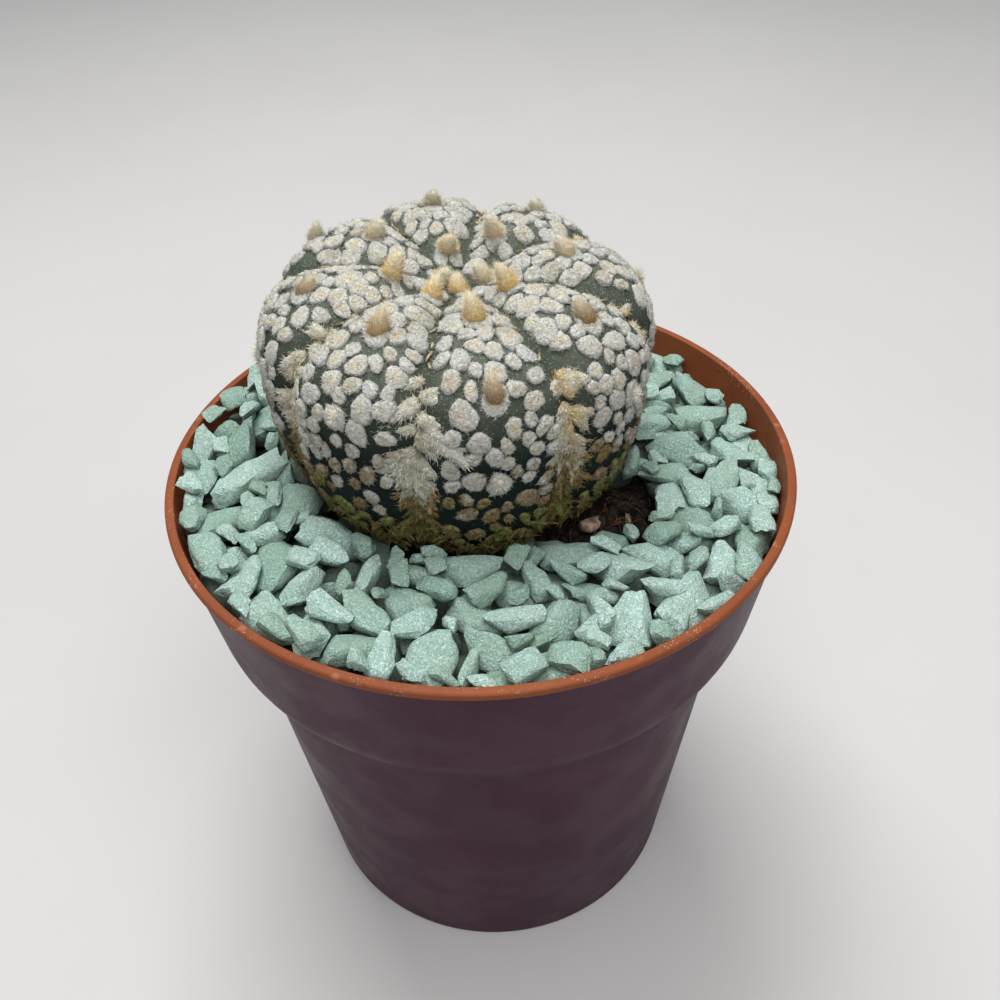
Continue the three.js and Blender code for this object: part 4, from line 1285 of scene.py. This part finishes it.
stone, tree, surface = new_material("green_stone")
tint = stored(tree, "tint")
grain = mottled(tree, 5000, 0.36, 0.64)
dull = blended(tree, tint, (0.215, 0.332, 0.265), (0.345, 0.490, 0.42))
pale = blended(tree, tint, (0.345, 0.505, 0.435), (0.60, 0.79, 0.75))
mint = blended(tree, grain, dull, pale)
patchy = blended(tree, product(tree, mottled(tree, 330), 0.3), mint, (0.31, 0.40, 0.28))
dots = speckled(tree, 1500, 0.16, 0.3)
dotted = blended(tree, product(tree, dots, 0.75), patchy, (0.08, 0.12, 0.06))
# Chips lying deeper under the bed's top get a dark green painted shade.
shaded_deep = blended(tree, product(tree, stored(tree, "depth"), 0.88), dotted, (0.06, 0.075, 0.045))
pits = [(mottled(tree, 900), 0.3, 0.25), (mottled(tree, 2300, 0.3, 0.62), 0.55, 0.2)]
paint(tree, surface, shaded_deep, pits + [(grain, 0.75, 0.12), (dots, -0.8, 0.15)])

stone_collection = shape_collection("chip", shapes, stone)
gravel_tree, gravel_keys, given, end = new_geometry_tree(
    "laid_stones", Shapes="Collection", Material="Material"
)
lie = named(gravel_tree, "lie", "FLOAT_VECTOR")
as_points = add_node(gravel_tree, "GeometryNodeMeshToPoints", {"Mesh": given["Geometry"]})
set_copies(gravel_tree, given, end, {
    "Points": as_points.outputs["Points"], "Instance": each_shape(gravel_tree, given), "Pick Instance": True,
    "Instance Index": named(gravel_tree, "shape", "INT"),
    "Rotation": add_node(gravel_tree, "FunctionNodeEulerToRotation", {"Euler": lie}).outputs["Rotation"],
    "Scale": named(gravel_tree, "size"),
})
where, lies, lengths, kinds, tints = zip(*laid)
gravel = mesh_object("gravel_stones", where, [], stone)
gravel.data.attributes.new("shape", "INT", "POINT").data.foreach_set("value", kinds)
store(gravel, lie=[tuple(lie) for lie in lies], size=np.array(lengths) * MM, tint=tints)
run_tree(gravel, gravel_tree, gravel_keys, {"Shapes": stone_collection, "Material": stone})
gravel.data.shade_smooth()
gravel.data.set_sharp_from_angle(angle=STONE_EDGE)
places = places_of(gravel)
# How deep each point lies under the bed's top, for the chips' painted shade.
under_top = BED_TOP + gravel_rise(places[:, 0], places[:, 1]) - places[:, 2]
store(gravel, depth=np.clip((under_top - 0.8) / 2.6, 0, 1))
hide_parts("gravel")
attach(gravel, "root")
for chip in list(stone_collection.objects):
    bpy.data.objects.remove(chip)

# Soil litter. Rust-brown threads of fibre and a few tan pebbles of the potting mix lie on the open soil.
LITTER_SEED = 63
THREADS = 90
THREAD_BENDS = 7
THREAD_WIDTH = 0.15
THREAD_SPREAD = 2.5
PEBBLES = [(11.3, -7.4, 3.0, (0.3, 0.5)), (15.0, -6.8, 1.2, (0.9, 0.2)), (13.0, -4.6, 0.9, (0.1, 1.2))]


def soil_level(x, y):
    """The height of the open soil."""
    return SOIL_TOP + PATCH_MOUND * math.exp(-((from_bare_soil(x, y) / PATCH_MOUND_RADIUS) ** 2))


fibre, tree, surface = new_material("rust_fibre", roughness=0.9, specular=0.1)
paint(tree, surface, blended(tree, mottled(tree, 500), (0.040, 0.020, 0.014), (0.125, 0.058, 0.032)))
rng = np.random.default_rng(LITTER_SEED)
points, faces = [], []
for _ in range(THREADS):
    x, y = np.array(BARE_SOIL) + THREAD_SPREAD * rng.standard_normal(2)
    heading, bend = 2 * math.pi * rng.random(), 0.2 * rng.standard_normal()
    step, width = 0.2 + 0.3 * rng.random(), THREAD_WIDTH * (0.5 + 0.8 * rng.random())
    lift, start = 0.2 + 0.7 * rng.random(), len(points)
    for n in range(THREAD_BENDS):
        arch = math.sin(math.pi * n / (THREAD_BENDS - 1))
        middle = np.array([x, y, soil_level(x, y) + 0.15 + lift * arch])
        across = np.array([-math.sin(heading), math.cos(heading), 0])
        thin = width * (0.35 + 0.65 * arch)
        for corner in (0, 1, 2):
            round_it = 2 * math.pi * corner / 3
            out = across * math.cos(round_it) + np.array([0, 0, math.sin(round_it)])
            points.append(middle + thin / 2 * out)
        x, y = x + step * math.cos(heading), y + step * math.sin(heading)
        heading += bend + 0.3 * rng.standard_normal()
    for a in range(start, len(points) - 3, 3):
        for corner in (0, 1, 2):
            after = (corner + 1) % 3
            faces.append((a + after, a + 3 + after, a + 3 + corner, a + corner))
    faces.extend([(start + 2, start + 1, start), (len(points) - 3, len(points) - 2, len(points) - 1)])
soil_threads = mesh_object("soil_threads", points, faces, fibre)
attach(soil_threads, "root")

tan, tree, surface = new_material("tan_pebble", roughness=0.95, specular=0.1)
tan_color = blended(tree, mottled(tree, 900), (0.16, 0.11, 0.075), (0.44, 0.34, 0.25))
paint(tree, surface, tan_color, [(mottled(tree, 2000), 0.8, 0.2)])
points, faces = [], []
for n, (x, y, length, tilt) in enumerate(PEBBLES):
    rotation, pebble = turned_chip(STONE_SHAPES + n, length, tilt, 0.7 + n)
    faces.extend([tuple(len(points) + k for k in face) for face in coarse_faces])
    points.extend(pebble + (x, y, soil_level(x, y) + 0.2 * length))
pebbles = mesh_object("pebbles", points, faces, tan)
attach(pebbles, "root")
